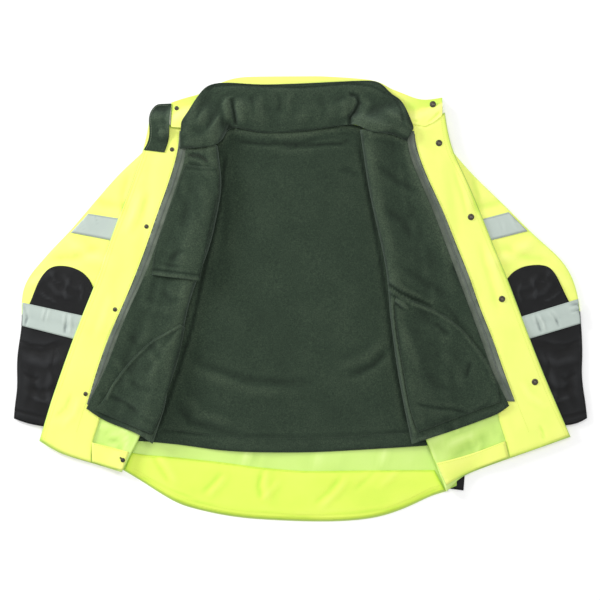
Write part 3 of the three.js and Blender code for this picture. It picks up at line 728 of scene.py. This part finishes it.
# %% Creases of the fleece
creases = {
    "fleece_back": [
        ([(266, 137), (280, 143), (300, 142.5), (322, 138)], 5, -2.4),
        ([(266, 131), (282, 136.5), (300, 137), (324, 132)], 7, 1.8),
        ([(338, 168), (350, 171), (362, 177)], 8, -1.6),
        ([(184, 346), (203, 365), (247, 380), (287, 383), (322, 380)], 11, -2.4),
        ([(186, 362), (212, 376), (250, 391), (300, 394)], 15, 2.2),
        ([(393, 346), (373, 365), (346, 378)], 8, -2.8),
        ([(389, 337), (366, 357), (336, 369)], 11, 2.2),
        ([(172, 398), (190, 422), (220, 430), (252, 436)], 10, -2.4),
        ([(182, 392), (202, 414), (234, 423)], 12, 2.0),
        ([(222, 170), (226, 215), (222, 262)], 12, -1.8),
        ([(160, 431.5), (230, 436), (300, 437.5), (380, 434), (428, 428)], 3.5, -1.4, 0.02),
        # The next two troughs lie just beside the folded edges of the fronts; through the attribute fold they paint
        # the contact shadow of the fronts onto the back.
        ([(226, 150), (219, 210), (204, 270), (192, 326), (178, 372), (158, 430)], 4.5, -3.2, 0.05),
        ([(358, 140), (368, 190), (381, 262), (387, 302), (394, 358), (408, 430)], 4.5, -3.4, 0.05),
        ([(236, 140), (300, 147), (352, 141)], 4, -2.4, 0.05),
    ],
    "fleece_collar": [
        ([(231.5, 97), (233.5, 110), (236.5, 126)], 5.5, -5.5, 0.15),
        ([(225, 96), (227, 110), (228, 123)], 8, 3.0),
        ([(239.5, 97), (241.5, 112), (243, 125)], 7, 2.4),
        ([(348, 93), (357.5, 96), (359.5, 103), (355.5, 111), (350, 118), (350.5, 129)], 5, -5.0, 0.12),
        ([(366, 96), (368, 106), (361, 117), (359, 128)], 8, 2.8),
        ([(341, 99), (346, 108), (342, 119)], 8, 1.8),
        ([(250, 93), (252, 103), (254, 117)], 6, -1.6),
        ([(262, 92), (260, 104), (263, 118)], 7, 1.1),
        ([(277, 90), (280, 103), (278, 116)], 6, -1.2),
        ([(292, 91), (288, 104), (290, 116)], 6, 0.9),
        ([(318, 92), (325, 110), (322, 122)], 9, -1.3),
        ([(206, 92), (214, 86), (240, 84.8), (300, 87.6), (350, 83.6), (372, 86), (388, 95)], 2.6, -1.2, 0.02),
        ([(394, 98), (401, 110), (404, 128)], 3, -1.8),
        ([(227, 125), (233, 127.5), (241, 131)], 2.6, -3.4, 0.1),
        ([(229, 125), (226, 133), (221.5, 144)], 2.6, -2.8, 0.1),
        ([(231.5, 104), (234, 114), (236.5, 126)], 2.4, -2.6, 0.15),
        ([(357, 97), (358, 103), (354.5, 110), (350.5, 117), (350.5, 128)], 2.4, -2.6, 0.15),
        ([(347, 113), (351, 119), (356, 123)], 2.4, -2.0),
    ],
    "fleece_front_left": [
        ([(188, 153), (199, 155.5), (209, 161)], 3.5, -2.6),
        ([(187, 158), (197, 160.5), (208, 166)], 3, 2.6),
        ([(214, 128), (207, 140), (206, 152)], 5, -2.0),
        ([(148, 339), (157, 352), (165, 363)], 8, -1.9),
        ([(138, 300), (155, 309), (178, 311)], 11, 1.8),
        ([(126, 331), (139, 345), (150, 351)], 9, -1.4),
        ([(160, 290), (172, 300), (184, 300)], 7, -1.4),
        ([(99, 393), (128, 409), (160, 427)], 3.2, -1.3, 0.02),
        ([(112, 358), (124, 372), (130, 384)], 8, 1.4),
    ],
    "fleece_front_right": [
        ([(371, 186), (385, 230), (397, 264)], 15, 2.6),
        ([(371, 160), (395, 180), (427, 197)], 10, -2.2),
        ([(380, 206), (401, 221), (414, 243)], 11, -2.0),
        ([(401, 168), (421, 215), (438, 262)], 17, 2.6),
        ([(394, 262), (430, 286), (458, 301)], 11, -2.0),
        ([(386, 281), (393, 287), (401, 293), (412, 298), (434, 307)], 3.6, -5.5, 0.1),
        ([(387, 291), (395, 296), (404, 303), (409, 309)], 2.8, -4.5, 0.1),
        ([(384, 286), (392, 291), (400, 298), (408, 303)], 3.0, 4.4, 0.15),
        ([(388, 279), (397, 284), (408, 292), (424, 298)], 4.0, 2.8),
        ([(398, 297), (404, 296), (411, 301)], 2.4, 2.4),
        ([(440, 300), (459, 322), (474, 336)], 7, -1.6),
        ([(407, 429), (455, 414), (504, 391)], 3.2, -1.3, 0.02),
    ],
    "inner_pocket": [
        ([(152, 273.5), (166, 276), (184, 277.5), (204, 281)], 3, 2.4, 0.02),
        ([(152, 269), (166, 271), (184, 273), (204, 276)], 2.2, -2.6, 0.02),
        ([(158, 262), (172, 266), (190, 267)], 3, -1.2),
        ([(186, 168.5), (200, 170), (218, 171)], 2.4, -1.0, 0.02),
        ([(196, 178), (207, 200), (205, 226)], 12, 1.6),
        ([(176, 185), (186, 205), (180, 230)], 10, -1.4),
        ([(168, 262), (180, 252), (192, 250)], 7, -1.6),
    ],
    "pocket_bag_left": [
        ([(108, 394), (126, 403), (141, 413)], 5, -2.6),
        ([(184, 324), (170, 332), (153, 342), (138, 355.5), (125.5, 369), (112.5, 387), (106, 401)], 2.6, 1.9, 0.03),
        ([(150, 351), (156, 365), (150, 382)], 9, 1.4),
        ([(128, 378), (140, 388), (160, 391)], 8, -1.3),
    ],
    "pocket_bag_right": [
        ([(433, 321), (443, 330), (451, 336)], 7, -2.6),
        ([(471, 360), (468, 370), (466, 379)], 6, -2.4),
        ([(414, 403), (433, 407.5), (452, 409), (470, 413.5), (494, 400)], 4, -2.4, 0.08),
        ([(389, 296), (395, 299), (403, 304), (408, 309)], 2.6, 4.0, 0.1),
        ([(391, 301), (398, 305), (404, 311)], 2.6, -3.0),
        ([(410, 303), (433, 311.5), (450, 321.5), (463.5, 333), (477.5, 351), (488, 366.5), (495.5, 385)], 2.6, 1.9, 0.03),
        ([(402, 320), (410, 350), (420, 372)], 12, 1.6),
        ([(440, 350), (455, 366), (462, 392)], 11, 1.6),
        ([(424, 372), (436, 385), (455, 390)], 9, -1.4),
    ],
    "collar_tab": [([(163, 108), (160, 122), (163, 140)], 6, 1.2), ([(155, 132), (162, 128), (169, 131)], 4, -1.2)],
}

# %% Creases of the shell
creases |= {
    "back_hem_facing": [
        ([(150, 454), (160, 470), (171, 487)], 6, -1.4),
        ([(156, 452), (167, 468), (178, 486)], 7, 1.3),
        ([(228, 474), (219, 485), (206, 498)], 6, 1.4),
        ([(222, 472), (213, 482), (200, 495)], 6, -1.1),
        ([(262, 468), (258, 486), (262, 506)], 6, -1.5),
        ([(268, 468), (265, 486), (270, 504)], 7, 1.4),
        ([(282, 478), (270, 492), (256, 504)], 6, 1.2),
        ([(350, 476), (336, 494), (318, 510)], 6, 1.5),
        ([(343, 474), (329, 491), (311, 507)], 6, -1.2),
        ([(380, 466), (366, 480), (352, 492)], 6, -1.1),
        ([(403, 462), (392, 477), (376, 490)], 7, 1.2),
        ([(140, 476), (200, 503), (300, 517), (390, 510), (440, 488)], 3, -0.9, 0.02),
    ],
    "shell_back": [
        ([(236, 448), (248, 458), (262, 470)], 5, 2.2),
        ([(243, 447), (256, 458), (270, 467)], 5, -1.6),
        ([(300, 450), (322, 461), (352, 463)], 5, 2.0),
        ([(318, 450), (345, 456), (372, 454)], 5, -1.5),
        ([(372, 450), (390, 460), (415, 458)], 6, 2.0),
    ],
    "shell_front_left": [
        ([(98, 424), (112, 432), (130, 434)], 5, 2.0),
        ([(104, 431), (114, 440), (124, 452)], 5, -1.8),
        ([(122, 428), (127, 440), (124, 454)], 5, 1.6),
    ],
    "shell_front_right": [
        ([(442, 446), (462, 438), (490, 424)], 6, 2.4),
        ([(448, 458), (466, 448), (494, 436)], 6, -2.2),
        ([(470, 432), (478, 446), (476, 458)], 6, 2.0),
        ([(494, 424), (500, 436), (506, 444)], 5, -1.8),
    ],
    "front_facing_right": [
        ([(457, 150), (468, 190), (474, 218)], 9, 1.6),
        ([(451, 160), (462, 196), (470, 228)], 7, -1.1),
        ([(478, 240), (492, 290), (500, 318)], 9, -1.5),
        ([(486, 238), (500, 284), (508, 312)], 8, 1.3),
        ([(539, 424), (543, 432), (544, 441)], 3, -1.6),
        ([(520, 380), (530, 396), (548, 408)], 6, 1.4),
    ],
    "front_facing_left": [
        ([(150, 190), (142, 214), (132, 236)], 9, -1.3),
        ([(143, 188), (134, 214), (124, 236)], 8, 1.4),
        ([(112, 290), (104, 318), (94, 342)], 9, 1.4),
        ([(72, 392), (66, 408), (52, 420)], 6, -1.4),
        ([(80, 396), (74, 414), (60, 428)], 6, 1.5),
    ],
    "shell_collar": [
        ([(426, 124), (434, 118), (442, 109)], 3.4, -1.9),
        ([(430, 127), (438, 121), (445, 112)], 4, 1.5),
        ([(411, 119), (415, 121), (420, 121)], 2.5, -1.4),
        ([(230, 80.5), (300, 82), (370, 80.5)], 2, -0.7, 0.02),
    ],
    "sleeve_left": [
        ([(62, 236), (90, 256), (120, 266)], 13, 3.2),
        ([(46, 258), (72, 258), (104, 246)], 11, -2.6),
        ([(84, 190), (104, 203), (136, 210)], 11, -2.6),
        ([(112, 150), (98, 178), (92, 204)], 13, 2.6),
        ([(130, 168), (122, 196), (128, 226)], 9, -1.8),
        ([(26, 288), (44, 276), (60, 268)], 8, 1.8),
    ],
    "sleeve_right": [
        ([(540, 236), (512, 255), (482, 264)], 13, 3.2),
        ([(556, 260), (530, 258), (498, 246)], 11, -2.6),
        ([(517, 190), (497, 203), (466, 210)], 11, -2.6),
        ([(488, 150), (502, 178), (508, 204)], 13, 2.6),
        ([(470, 168), (478, 196), (472, 226)], 9, -1.8),
        ([(574, 290), (560, 276), (545, 268)], 8, 1.8),
    ],
    "forearm_left": [
        ([(16, 338), (30, 345), (46, 346), (62, 340)], 3, -0.9),
        ([(22, 372), (34, 380), (40, 376)], 3, -0.9),
        ([(56, 350), (50, 366), (55, 384)], 3, -0.8),
        ([(28, 396), (44, 402), (54, 398)], 3, 0.8),
        ([(18, 346), (40, 352), (68, 343)], 8, -1.6),
        ([(20, 357), (44, 364), (66, 356)], 9, 1.4),
        ([(24, 386), (40, 393), (58, 386)], 8, -1.3),
        ([(52, 368), (47, 388), (50, 412)], 7, 1.1),
        ([(30, 366), (33, 390), (26, 410)], 8, -1.1),
        ([(14, 410), (30, 414), (52, 420)], 2.5, -1.2, 0.02),
    ],
    "forearm_right": [
        ([(584, 338), (570, 345), (554, 346), (538, 340)], 3, -0.9),
        ([(578, 372), (566, 380), (560, 376)], 3, -0.9),
        ([(544, 350), (550, 366), (545, 384)], 3, -0.8),
        ([(572, 396), (556, 402), (550, 398)], 3, 0.8),
        ([(582, 344), (562, 352), (534, 343)], 8, -1.6),
        ([(582, 357), (558, 363), (536, 356)], 9, 1.4),
        ([(578, 386), (562, 392), (546, 386)], 8, -1.3),
        ([(550, 368), (556, 388), (552, 408)], 7, 1.1),
        ([(572, 366), (569, 390), (578, 410)], 8, -1.1),
        ([(586, 412), (572, 416), (558, 418)], 2.5, -1.2, 0.02),
    ],
    "elbow_patch_left": [
        ([(44, 276), (56, 292), (76, 298)], 8, 1.4),
        ([(60, 272), (70, 286), (84, 290)], 7, 1.0),
        ([(50, 270), (54, 280), (62, 284)], 3, 1.1),
        ([(70, 276), (64, 290), (66, 302)], 3, 1.1),
        ([(38, 290), (46, 297), (58, 303)], 3, 1.0),
        ([(78, 280), (82, 292), (78, 304)], 3, 0.9),
    ],
    "elbow_patch_right": [
        ([(556, 276), (544, 292), (524, 298)], 8, 1.4),
        ([(540, 272), (530, 286), (516, 290)], 7, 1.0),
        ([(550, 270), (546, 280), (538, 284)], 3, 1.1),
        ([(530, 276), (536, 290), (534, 302)], 3, 1.1),
        ([(562, 290), (554, 297), (542, 303)], 3, 1.0),
        ([(522, 280), (518, 292), (522, 304)], 3, 0.9),
    ],
    "band_lower_left": [
        ([(48, 306), (43, 323)], 2.2, -2.4),
        ([(67, 312), (64, 336)], 2.2, -2.6),
        ([(71, 313), (69, 336)], 2.4, 1.6),
        ([(24, 306), (27, 318), (24, 328)], 2.2, -2.0),
    ],
    "band_lower_right": [
        ([(535, 313), (538, 322), (542, 334)], 2.2, -2.8),
        ([(539, 314), (544, 324), (546, 333)], 2.2, 1.8),
        ([(549, 310), (556, 318), (560, 328)], 2.0, -2.2),
        ([(568, 306), (576, 304), (582, 306)], 2.0, -2.4),
        ([(570, 312), (578, 310), (583, 314)], 2.0, -2.0),
    ],
    "band_upper_left": [([(80, 218), (84, 234)], 2.6, -1.6), ([(94, 214), (98, 226)], 2.4, -1.2)],
    "band_upper_right": [([(513, 214), (520, 230)], 2.6, -1.8), ([(500, 218), (503, 234)], 2.4, -1.2)],
}

# %% Loft and waves
lofts = {"fleece_back": 1.2, "fleece_collar": 1.4, "fleece_front_left": 0.8, "fleece_front_right": 0.8}
lofts |= {"inner_pocket": 0.8, "pocket_bag_left": 0.8, "pocket_bag_right": 0.8, "back_hem_facing": 1.6}
lofts |= {"front_facing_left": 0.6, "front_facing_right": 0.6, "shell_front_left": 0.8, "shell_front_right": 0.8}
lofts |= {"shell_back": 0.4, "shell_collar": 0.8, "collar_tab": 0.6, "zip_tape_left": 0.9, "zip_tape_right": 0.9}
slow = [(260, 20, 0.5, 0.7), (170, 100, 1.1, 0.5), (105, 62, 2.0, 0.4)]
gentle = [(150, 70, 0.4, 0.7), (90, 15, 1.6, 0.4)]
rolling = {"fleece_back": slow, "fleece_front_left": slow, "fleece_front_right": slow, "fleece_collar": gentle}
rolling |= {"sleeve_" + side: slow for side in SIDES} | {"forearm_" + side: gentle for side in SIDES}
rolling |= {"front_facing_" + side: gentle for side in SIDES} | {"back_hem_facing": gentle}
rolling |= {"pocket_bag_" + side: gentle for side in SIDES} | {"inner_pocket": gentle}
for node in cloth:
    shape(node, creases.get(node, ()), rolling.get(node, ()), lofts.get(node, 0.0))
print("creases drawn:", sum(len(rows) for rows in creases.values()))

# %% Lay the jacket from the floor up
order = [("shell_back", "whole")]
for side in SIDES:
    order += [("sleeve_" + side, "whole"), ("forearm_" + side, "whole")]
for side in SIDES:
    order += [(node + side, "whole") for node in ("elbow_patch_", "band_upper_", "band_lower_")]
order += [("side_tab", "whole"), ("fleece_back", "whole"), ("back_hem_facing", "whole")]
for side in SIDES:
    order += [("fleece_front_" + side, "under"), ("shell_front_" + side, "under"), ("shell_front_" + side, "upper")]
    order += [(node + side, "whole") for node in ("front_facing_", "hem_facing_", "zip_tape_")]
    order += [("fleece_front_" + side, "upper")]
order += [("shell_collar", "whole"), ("fleece_collar", "whole"), ("inner_pocket", "whole")]
order += [("pocket_bag_left", "whole"), ("pocket_bag_right", "whole"), ("collar_tab", "whole")]
for node, layer in order:
    lay(node, layer)
for node in ("fleece_back", "fleece_front_left", "fleece_front_right"):
    meet(node, "fleece_collar", 3.2)
for side in SIDES:
    meet("front_facing_" + side, "shell_collar", 1.4, 4)
fold_lines = {
    "left": [(187, 326), (180, 350), (172, 378), (160, 410), (151, 432)],
    "right": [(391, 302), (394, 330), (399, 358), (404, 388), (413, 428)],
}
for side in SIDES:
    meet("fleece_front_" + side, "pocket_bag_" + side, 3.2, 8, fold_lines[side])
for node in cloth:
    laid = write_back(node)
    print(node, [round(v / MM, 1) for v in (laid[:, 2].min(), laid[:, 2].max())])
for node in ("shell_back", "shell_front_left", "shell_front_right"):
    coat_inside(node)

# %% [markdown]
# Small parts are set on the finished cloth. `surface` reads how high a piece reaches, and lines drawn on the
# plan are rounded through their points before anything is set along them.

# %% Helpers for small parts
def surface(node):
    """How high one cloth piece reaches over each cell."""
    return heights(cloth[node]["laid"], cloth[node]["triangles"])


covered = np.max([surface(node) for node in cloth], axis=0)


def measured(*points):
    """Points of the plan from millimetres right of and above its middle."""
    return [(PAPER_MIDDLE[0] + x / 2, PAPER_MIDDLE[1] - y / 2) for x, y in points]


def curved(line, step, inset=0.0):
    """Even steps in metres along a line rounded through its points, moved to its left by inset."""
    corners = np.array([plan(*corner) for corner in line])
    padded = np.vstack([2 * corners[0] - corners[1], corners, 2 * corners[-1] - corners[-2]])
    t = np.linspace(0, 1, 12, endpoint=False)[:, None]
    rows = []
    for a, b, c, d in zip(padded, padded[1:], padded[2:], padded[3:]):
        rows.append(0.5 * (2 * b + (c - a) * t + (2 * a - 5 * b + 4 * c - d) * t**2 + (3 * b - a - 3 * c + d) * t**3))
    path = np.vstack(rows + [corners[-1:]])
    run = np.concatenate([[0], np.cumsum(np.linalg.norm(np.diff(path, axis=0), axis=1))])
    at = np.arange(0, run[-1], step)
    points = np.stack([np.interp(at, run, path[:, k]) for k in (0, 1)], axis=1)
    ahead = np.gradient(points, axis=0)
    ahead /= np.linalg.norm(ahead, axis=1)[:, None]
    return points + np.stack([-ahead[:, 1], ahead[:, 0]], axis=1) * inset


def small_part(name, bm, material, slot, *nodes):
    """Turns a bmesh into a piece of the jacket, in place of the nodes it stands for."""
    mesh = bpy.data.meshes.new(name)
    bm.to_mesh(mesh)
    bm.free()
    mesh.materials.append(material)
    for face in mesh.polygons:
        face.use_smooth = True
    piece = bpy.data.objects.new(name, mesh)
    scene.collection.objects.link(piece)
    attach(piece, "root")
    if nodes:
        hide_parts(*nodes)
    return piece


# %% [markdown]
# A snap half is turned on a lathe: its profile is spun round the upright axis. The socket has a sprung
# ring round its mouth, the stud a post with a waist that the ring closes on.

# %% Snaps and the hem toggle
SNAP_STEPS = 28
SOCKET = [(0, 0.7), (1.7, 0.7), (2.3, 0.5), (2.7, 0.9), (3.0, 2.0), (3.7, 2.4), (4.5, 2.1), (5.0, 1.5)]
SOCKET += [(5.7, 1.7), (6.3, 1.2), (6.5, 0.5), (6.4, 0), (0, 0)]
STUD = [(0, 3.6), (0.9, 3.6), (1.5, 3.3), (1.7, 2.7), (1.35, 1.7), (1.6, 1.1), (2.6, 1.0), (3.4, 0.7)]
STUD += [(4.2, 0.8), (4.5, 0.3), (4.4, 0), (0, 0)]
KNOB = [(0, 7.0), (2.2, 6.8), (3.8, 5.9), (4.5, 4.2), (4.4, 2.0), (3.9, 0.4), (3.0, 0), (0, 0)]
NUB = [(0, 4.6), (1.0, 4.4), (1.6, 3.6), (1.6, 0.4), (0, 0)]


def turned(bm, profile):
    """Spins a profile of radius and height in mm round the upright axis."""
    corners = [bm.verts.new((radius * MM, 0, height * MM)) for radius, height in profile]
    edges = [bm.edges.new(pair) for pair in zip(corners, corners[1:])]
    bmesh.ops.spin(
        bm, geom=corners + edges, cent=(0, 0, 0), axis=(0, 0, 1), angle=2 * math.pi, steps=SNAP_STEPS, use_merge=True
    )
    bmesh.ops.remove_doubles(bm, verts=bm.verts, dist=0.005 * MM)
    bmesh.ops.recalc_face_normals(bm, faces=bm.faces)
    return list(bm.verts)


def seat(node, radius):
    """The middle of a fitting's node in plan, and the height of the cloth under it."""
    low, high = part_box(node)
    middle = np.array([[(low[0] + high[0]) / 2, (low[1] + high[1]) / 2, 0]])
    ring = [middle + [[radius * MM * math.cos(a), radius * MM * math.sin(a), 0]] for a in np.linspace(0, 6.28, 9)]
    return middle[0, 0], middle[0, 1], max(read(covered, point)[0] for point in [middle] + ring)


for number in range(1, 6):
    for kind, profile, radius in (("socket", SOCKET, 5), ("stud", STUD, 3.5)):
        node = f"snap_{kind}_{number}"
        bm = bmesh.new()
        turned(bm, profile)
        bmesh.ops.translate(bm, verts=bm.verts, vec=seat(node, radius))
        small_part(node + "_plated", bm, plated, "snap_metal", node)

bm = bmesh.new()
turned(bm, KNOB)
nub = bmesh.new()
turned(nub, NUB)
tilt = Matrix.Rotation(math.radians(135), 4, "Z") @ Matrix.Rotation(math.radians(90), 4, "Y")
bmesh.ops.transform(nub, matrix=Matrix.Translation((-2.6 * MM, 2.6 * MM, 3.4 * MM)) @ tilt, verts=nub.verts)
nub_mesh = bpy.data.meshes.new("nub")
nub.to_mesh(nub_mesh)
nub.free()
bm.from_mesh(nub_mesh)
bpy.data.meshes.remove(nub_mesh)
bmesh.ops.translate(bm, verts=bm.verts, vec=seat("hem_toggle", 3.5))
small_part("hem_toggle_moulded", bm, moulded, "toggle_plastic", "hem_toggle")

# %% [markdown]
# Stitches are small spindles of thread, laid along a seam at an even step. They sit on one cloth piece and
# are left out where another piece covers it. An overlocked edge is the same with its stitches slanted.

# %% Rows of stitches and the zip's coil
COVERED = 1.6 * MM


def spindles(bm, node, points, length, thick, turn=0.0, sink=0.15, step=1):
    """Sets small spindles on a cloth piece, along or across a row of points."""
    top = surface(node)
    flat = np.hstack([points, np.zeros((len(points), 1))])
    height = read(top, flat)
    shown = (height > 0) & (read(covered, flat) < height + COVERED)
    for k in range(0, len(points) - 1, step):
        if not shown[k] or not shown[k + 1]:
            continue
        start = Vector((*points[k], height[k]))
        end = Vector((*points[k + 1], height[k + 1]))
        facing = (end - start).to_track_quat("X", "Z")
        if turn:
            facing = facing @ Matrix.Rotation(math.radians(turn if k % 2 else -turn), 3, "Z").to_quaternion()
        middle = (start + end) / 2 + Vector((0, 0, (0.5 - sink) * thick * MM))
        size = (length * MM / 2, thick * MM / 2, thick * MM / 2)
        bmesh.ops.create_uvsphere(
            bm, u_segments=6, v_segments=4, radius=1, matrix=Matrix.LocRotScale(middle, facing, size)
        )


def stitches(name, node, rows, material, slot, step=4.0, length=3.0, thick=0.7, turn=0.0):
    """One piece of thread work on a cloth piece. Each row is a line and its inset in mm."""
    bm = bmesh.new()
    for line, inset in rows:
        spindles(bm, node, curved(line, step * MM, inset * MM), length, thick, turn)
    print(name, "faces:", len(bm.faces))
    return small_part(name, bm, material, slot)


yellow_thread = plain("yellow thread", (0.72, 0.86, 0.11), 0.7, 1500, 0.05 * MM)
dark_thread = plain("dark green thread", (0.05, 0.07, 0.048), 0.8, 1500, 0.05 * MM)
black_thread = plain("black thread", (0.03, 0.03, 0.034), 0.8, 1500, 0.05 * MM)
grey_thread = plain("grey thread", (0.4, 0.45, 0.42), 0.7, 1500, 0.05 * MM)
coil_plastic = plain("zip coil", (0.15, 0.175, 0.155), 0.5, 1500, 0.05 * MM)

free_edge = {
    "left": measured(
        (-521, -278), (-500, -210), (-478, -146), (-455, -82), (-430, -18), (-404, 46), (-383, 110), (-359, 174),
        (-335, 238), (-312, 302), (-303, 345)),
    "right": measured(
        (542, -270), (513, -210), (486, -146), (461, -82), (437, -18), (413, 46), (386, 110), (361, 174),
        (334, 238), (303, 302), (291, 366)),
}
zip_line = {
    "left": measured(
        (-444, -274), (-425, -210), (-399, -146), (-376, -82), (-349, -18), (-320.5, 46), (-296.5, 110),
        (-274.5, 174), (-252, 238), (-234.5, 302), (-238, 334)),
    "right": measured(
        (449, -274), (424.5, -210), (396.5, -146), (374.5, -82), (349.5, -18), (326.5, 46), (301.5, 110),
        (277, 174), (248, 238), (224, 302), (222, 334)),
}
zip_edge = {
    "left": measured(
        (-444, -268), (-426, -210), (-407, -146), (-385, -82), (-357, -18), (-330, 46), (-306, 110), (-284, 174),
        (-261, 238), (-243, 302), (-241, 336)),
    "right": measured(
        (455, -268), (432, -210), (408, -146), (386, -82), (360, -18), (338, 46), (312, 110), (287, 174),
        (257, 238), (233, 302), (230, 336)),
}
for side, inward in (("left", -1), ("right", 1)):
    facing_rows = [(free_edge[side], inward * 4), (free_edge[side], inward * 10), (zip_edge[side], -inward * 3.5)]
    stitches("facing_stitches_" + side, "front_facing_" + side, facing_rows, yellow_thread, "hi_vis_yellow")
    bm = bmesh.new()
    spindles(bm, "zip_tape_" + side, curved(zip_line[side], 1.9 * MM), 5.4, 1.3, turn=90, sink=0.2)
    small_part("zip_coil_" + side, bm, coil_plastic, "zip_tape")
    tape_rows = [(zip_edge[side], inward * 2.0)]
    stitches("zip_stitches_" + side, "zip_tape_" + side, tape_rows, grey_thread, "zip_tape", 3.4, 2.6, 0.5)
    # A row of thick dark green spindles along the tape's outer edge paints the dark shadow line between the tape and
    # the yellow facing.
    edge_shadow_row = [(zip_edge[side], inward * 0.7)]
    stitches("zip_edge_shadow_" + side, "zip_tape_" + side, edge_shadow_row, dark_thread, "zip_tape", 2.6, 3.4, 1.1)

# %% More rows of stitches
back_hem = measured(
    (-336, -345), (-318, -355), (-278, -381), (-240, -403), (-198, -415), (-147, -426), (-87, -433), (28, -438),
    (103, -436), (160, -428), (216, -408), (262, -385), (286, -378))
facing_top = measured(
    (-322, -317), (-264, -318.5), (-144, -331.5), (-87, -339.5), (8, -347.5), (104, -346.5), (266, -345.5))
rows = [(back_hem, 0), (back_hem, 6), (facing_top, 0)]
stitches("hem_stitches", "back_hem_facing", rows, yellow_thread, "hi_vis_yellow")
hem_tops = {
    "left": measured((-343, -309), (-378, -299), (-415, -290)),
    "right": measured((275, -331), (340, -314), (409, -287)),
}
for side in SIDES:
    stitches("turn_up_stitches_" + side, "hem_facing_" + side, [(hem_tops[side], 0)], yellow_thread, "hi_vis_yellow")

fleece_hem = measured(
    (-322, -256), (-240, -264), (-164, -275), (-87, -279), (28, -279), (142, -273), (250, -266), (284, -262))
stitches("fleece_hem_stitches", "fleece_back", [(fleece_hem, 0)], dark_thread, "fleece", 3.6, 2.8, 0.6)
front_hems = {
    "left": measured((-300, -256), (-320, -246), (-350, -233), (-382, -219), (-425, -195)),
    "right": measured((228, -262), (262, -252), (305, -237), (366, -214), (408, -198), (428, -190)),
}
for side in SIDES:
    row = [(front_hems[side], 0)]
    stitches("front_hem_stitches_" + side, "fleece_front_" + side, row, dark_thread, "fleece", 3.6, 2.8, 0.6)
collar_edge = measured(
    (-223, 365), (-208, 380), (-193, 400), (-187, 414), (-173, 425), (-146, 429), (-80, 425), (0, 427), (144, 433),
    (162, 426), (178, 407), (195, 399), (209, 375))
stitches("collar_stitches", "fleece_collar", [(collar_edge, 0)], dark_thread, "fleece", 3.6, 2.8, 0.6)
tab_edge = measured(
    (-308, 300), (-299, 317), (-297.5, 340), (-299, 363), (-295.5, 377), (-285, 387.5), (-262, 388.5))
tab_thread = plain("light tab thread", (0.3, 0.37, 0.26), 0.7, 1500, 0.05 * MM)
stitches("tab_stitches", "collar_tab", [(tab_edge, 0)], tab_thread, "fleece", 3.4, 2.7, 0.8)
pocket_hem = measured((-293, 56), (-262, 49), (-232, 45), (-203, 43))
pocket_side = measured((-226, 262), (-240, 232), (-263, 168), (-288, 96), (-293, 56))
pocket_mouth = measured((-226, 264), (-200, 262), (-172, 258))
rows = [(pocket_hem, 0), (pocket_side, 0), (pocket_mouth, 0)]
stitches("pocket_stitches", "inner_pocket", rows, dark_thread, "fleece", 3.4, 2.7, 0.7)
overlock = measured((-226, 287), (-214, 284), (-202, 285), (-192, 277), (-183, 272))
rows = [(overlock, 0), (overlock, 3)]
stitches("overlock", "fleece_front_left", rows, dark_thread, "fleece", 2.2, 4.2, 0.8, 62)
bag_edges = {
    "left": measured(
        (-236, -54), (-256, -66), (-293, -86), (-323, -113), (-348, -141), (-374, -177), (-387, -204), (-407, -222)),
    "right": measured(
        (196, 2), (224, -6), (265, -24), (301, -46), (328, -70), (355, -105), (376, -136), (392, -172), (396, -204)),
}
for side in SIDES:
    row = [(bag_edges[side], 0)]
    stitches("bag_stitches_" + side, "pocket_bag_" + side, row, dark_thread, "fleece", 3.4, 2.7, 0.7)

bands = {
    "upper_left": ((-459, 133), (-424, 171), (-330, 156), (-345, 111)),
    "lower_left": ((-556, -54), (-556, -7), (-400, -41), (-410, -91)),
    "upper_right": ((456, 136), (418, 174), (335, 152), (345, 108)),
    "lower_right": ((562, -49), (557, 0), (405, -47), (415, -93)),
}
for name, (outer_low, outer_high, inner_high, inner_low) in bands.items():
    side_sign = 1 if name.endswith("left") else -1
    rows = [(measured(outer_high, inner_high), -2 * side_sign), (measured(outer_low, inner_low), 2 * side_sign)]
    stitches("band_stitches_" + name, "band_" + name, rows, grey_thread, "reflective_tape", 3.4, 2.7, 0.6)
arches = {
    "left": measured(
        (-550, -10), (-538, 10), (-518, 40), (-504, 55), (-490, 62.5), (-462, 61.5), (-439, 52), (-424.5, 38),
        (-416.5, 21), (-411.5, 0), (-405, -40)),
    "right": measured(
        (553, -6), (537, -4), (519, 28), (509, 48), (499, 60), (486, 64.5), (466, 64.5), (447, 60.5), (429, 51.5),
        (418, 41.5), (410.5, 23), (405.5, 0), (403, -40)),
}
for side in SIDES:
    name, carrier = "elbow_stitches_" + side, "elbow_patch_" + side
    stitches(name, carrier, [(arches[side], 0)], black_thread, "black_oxford", 3.4, 2.7, 0.6)
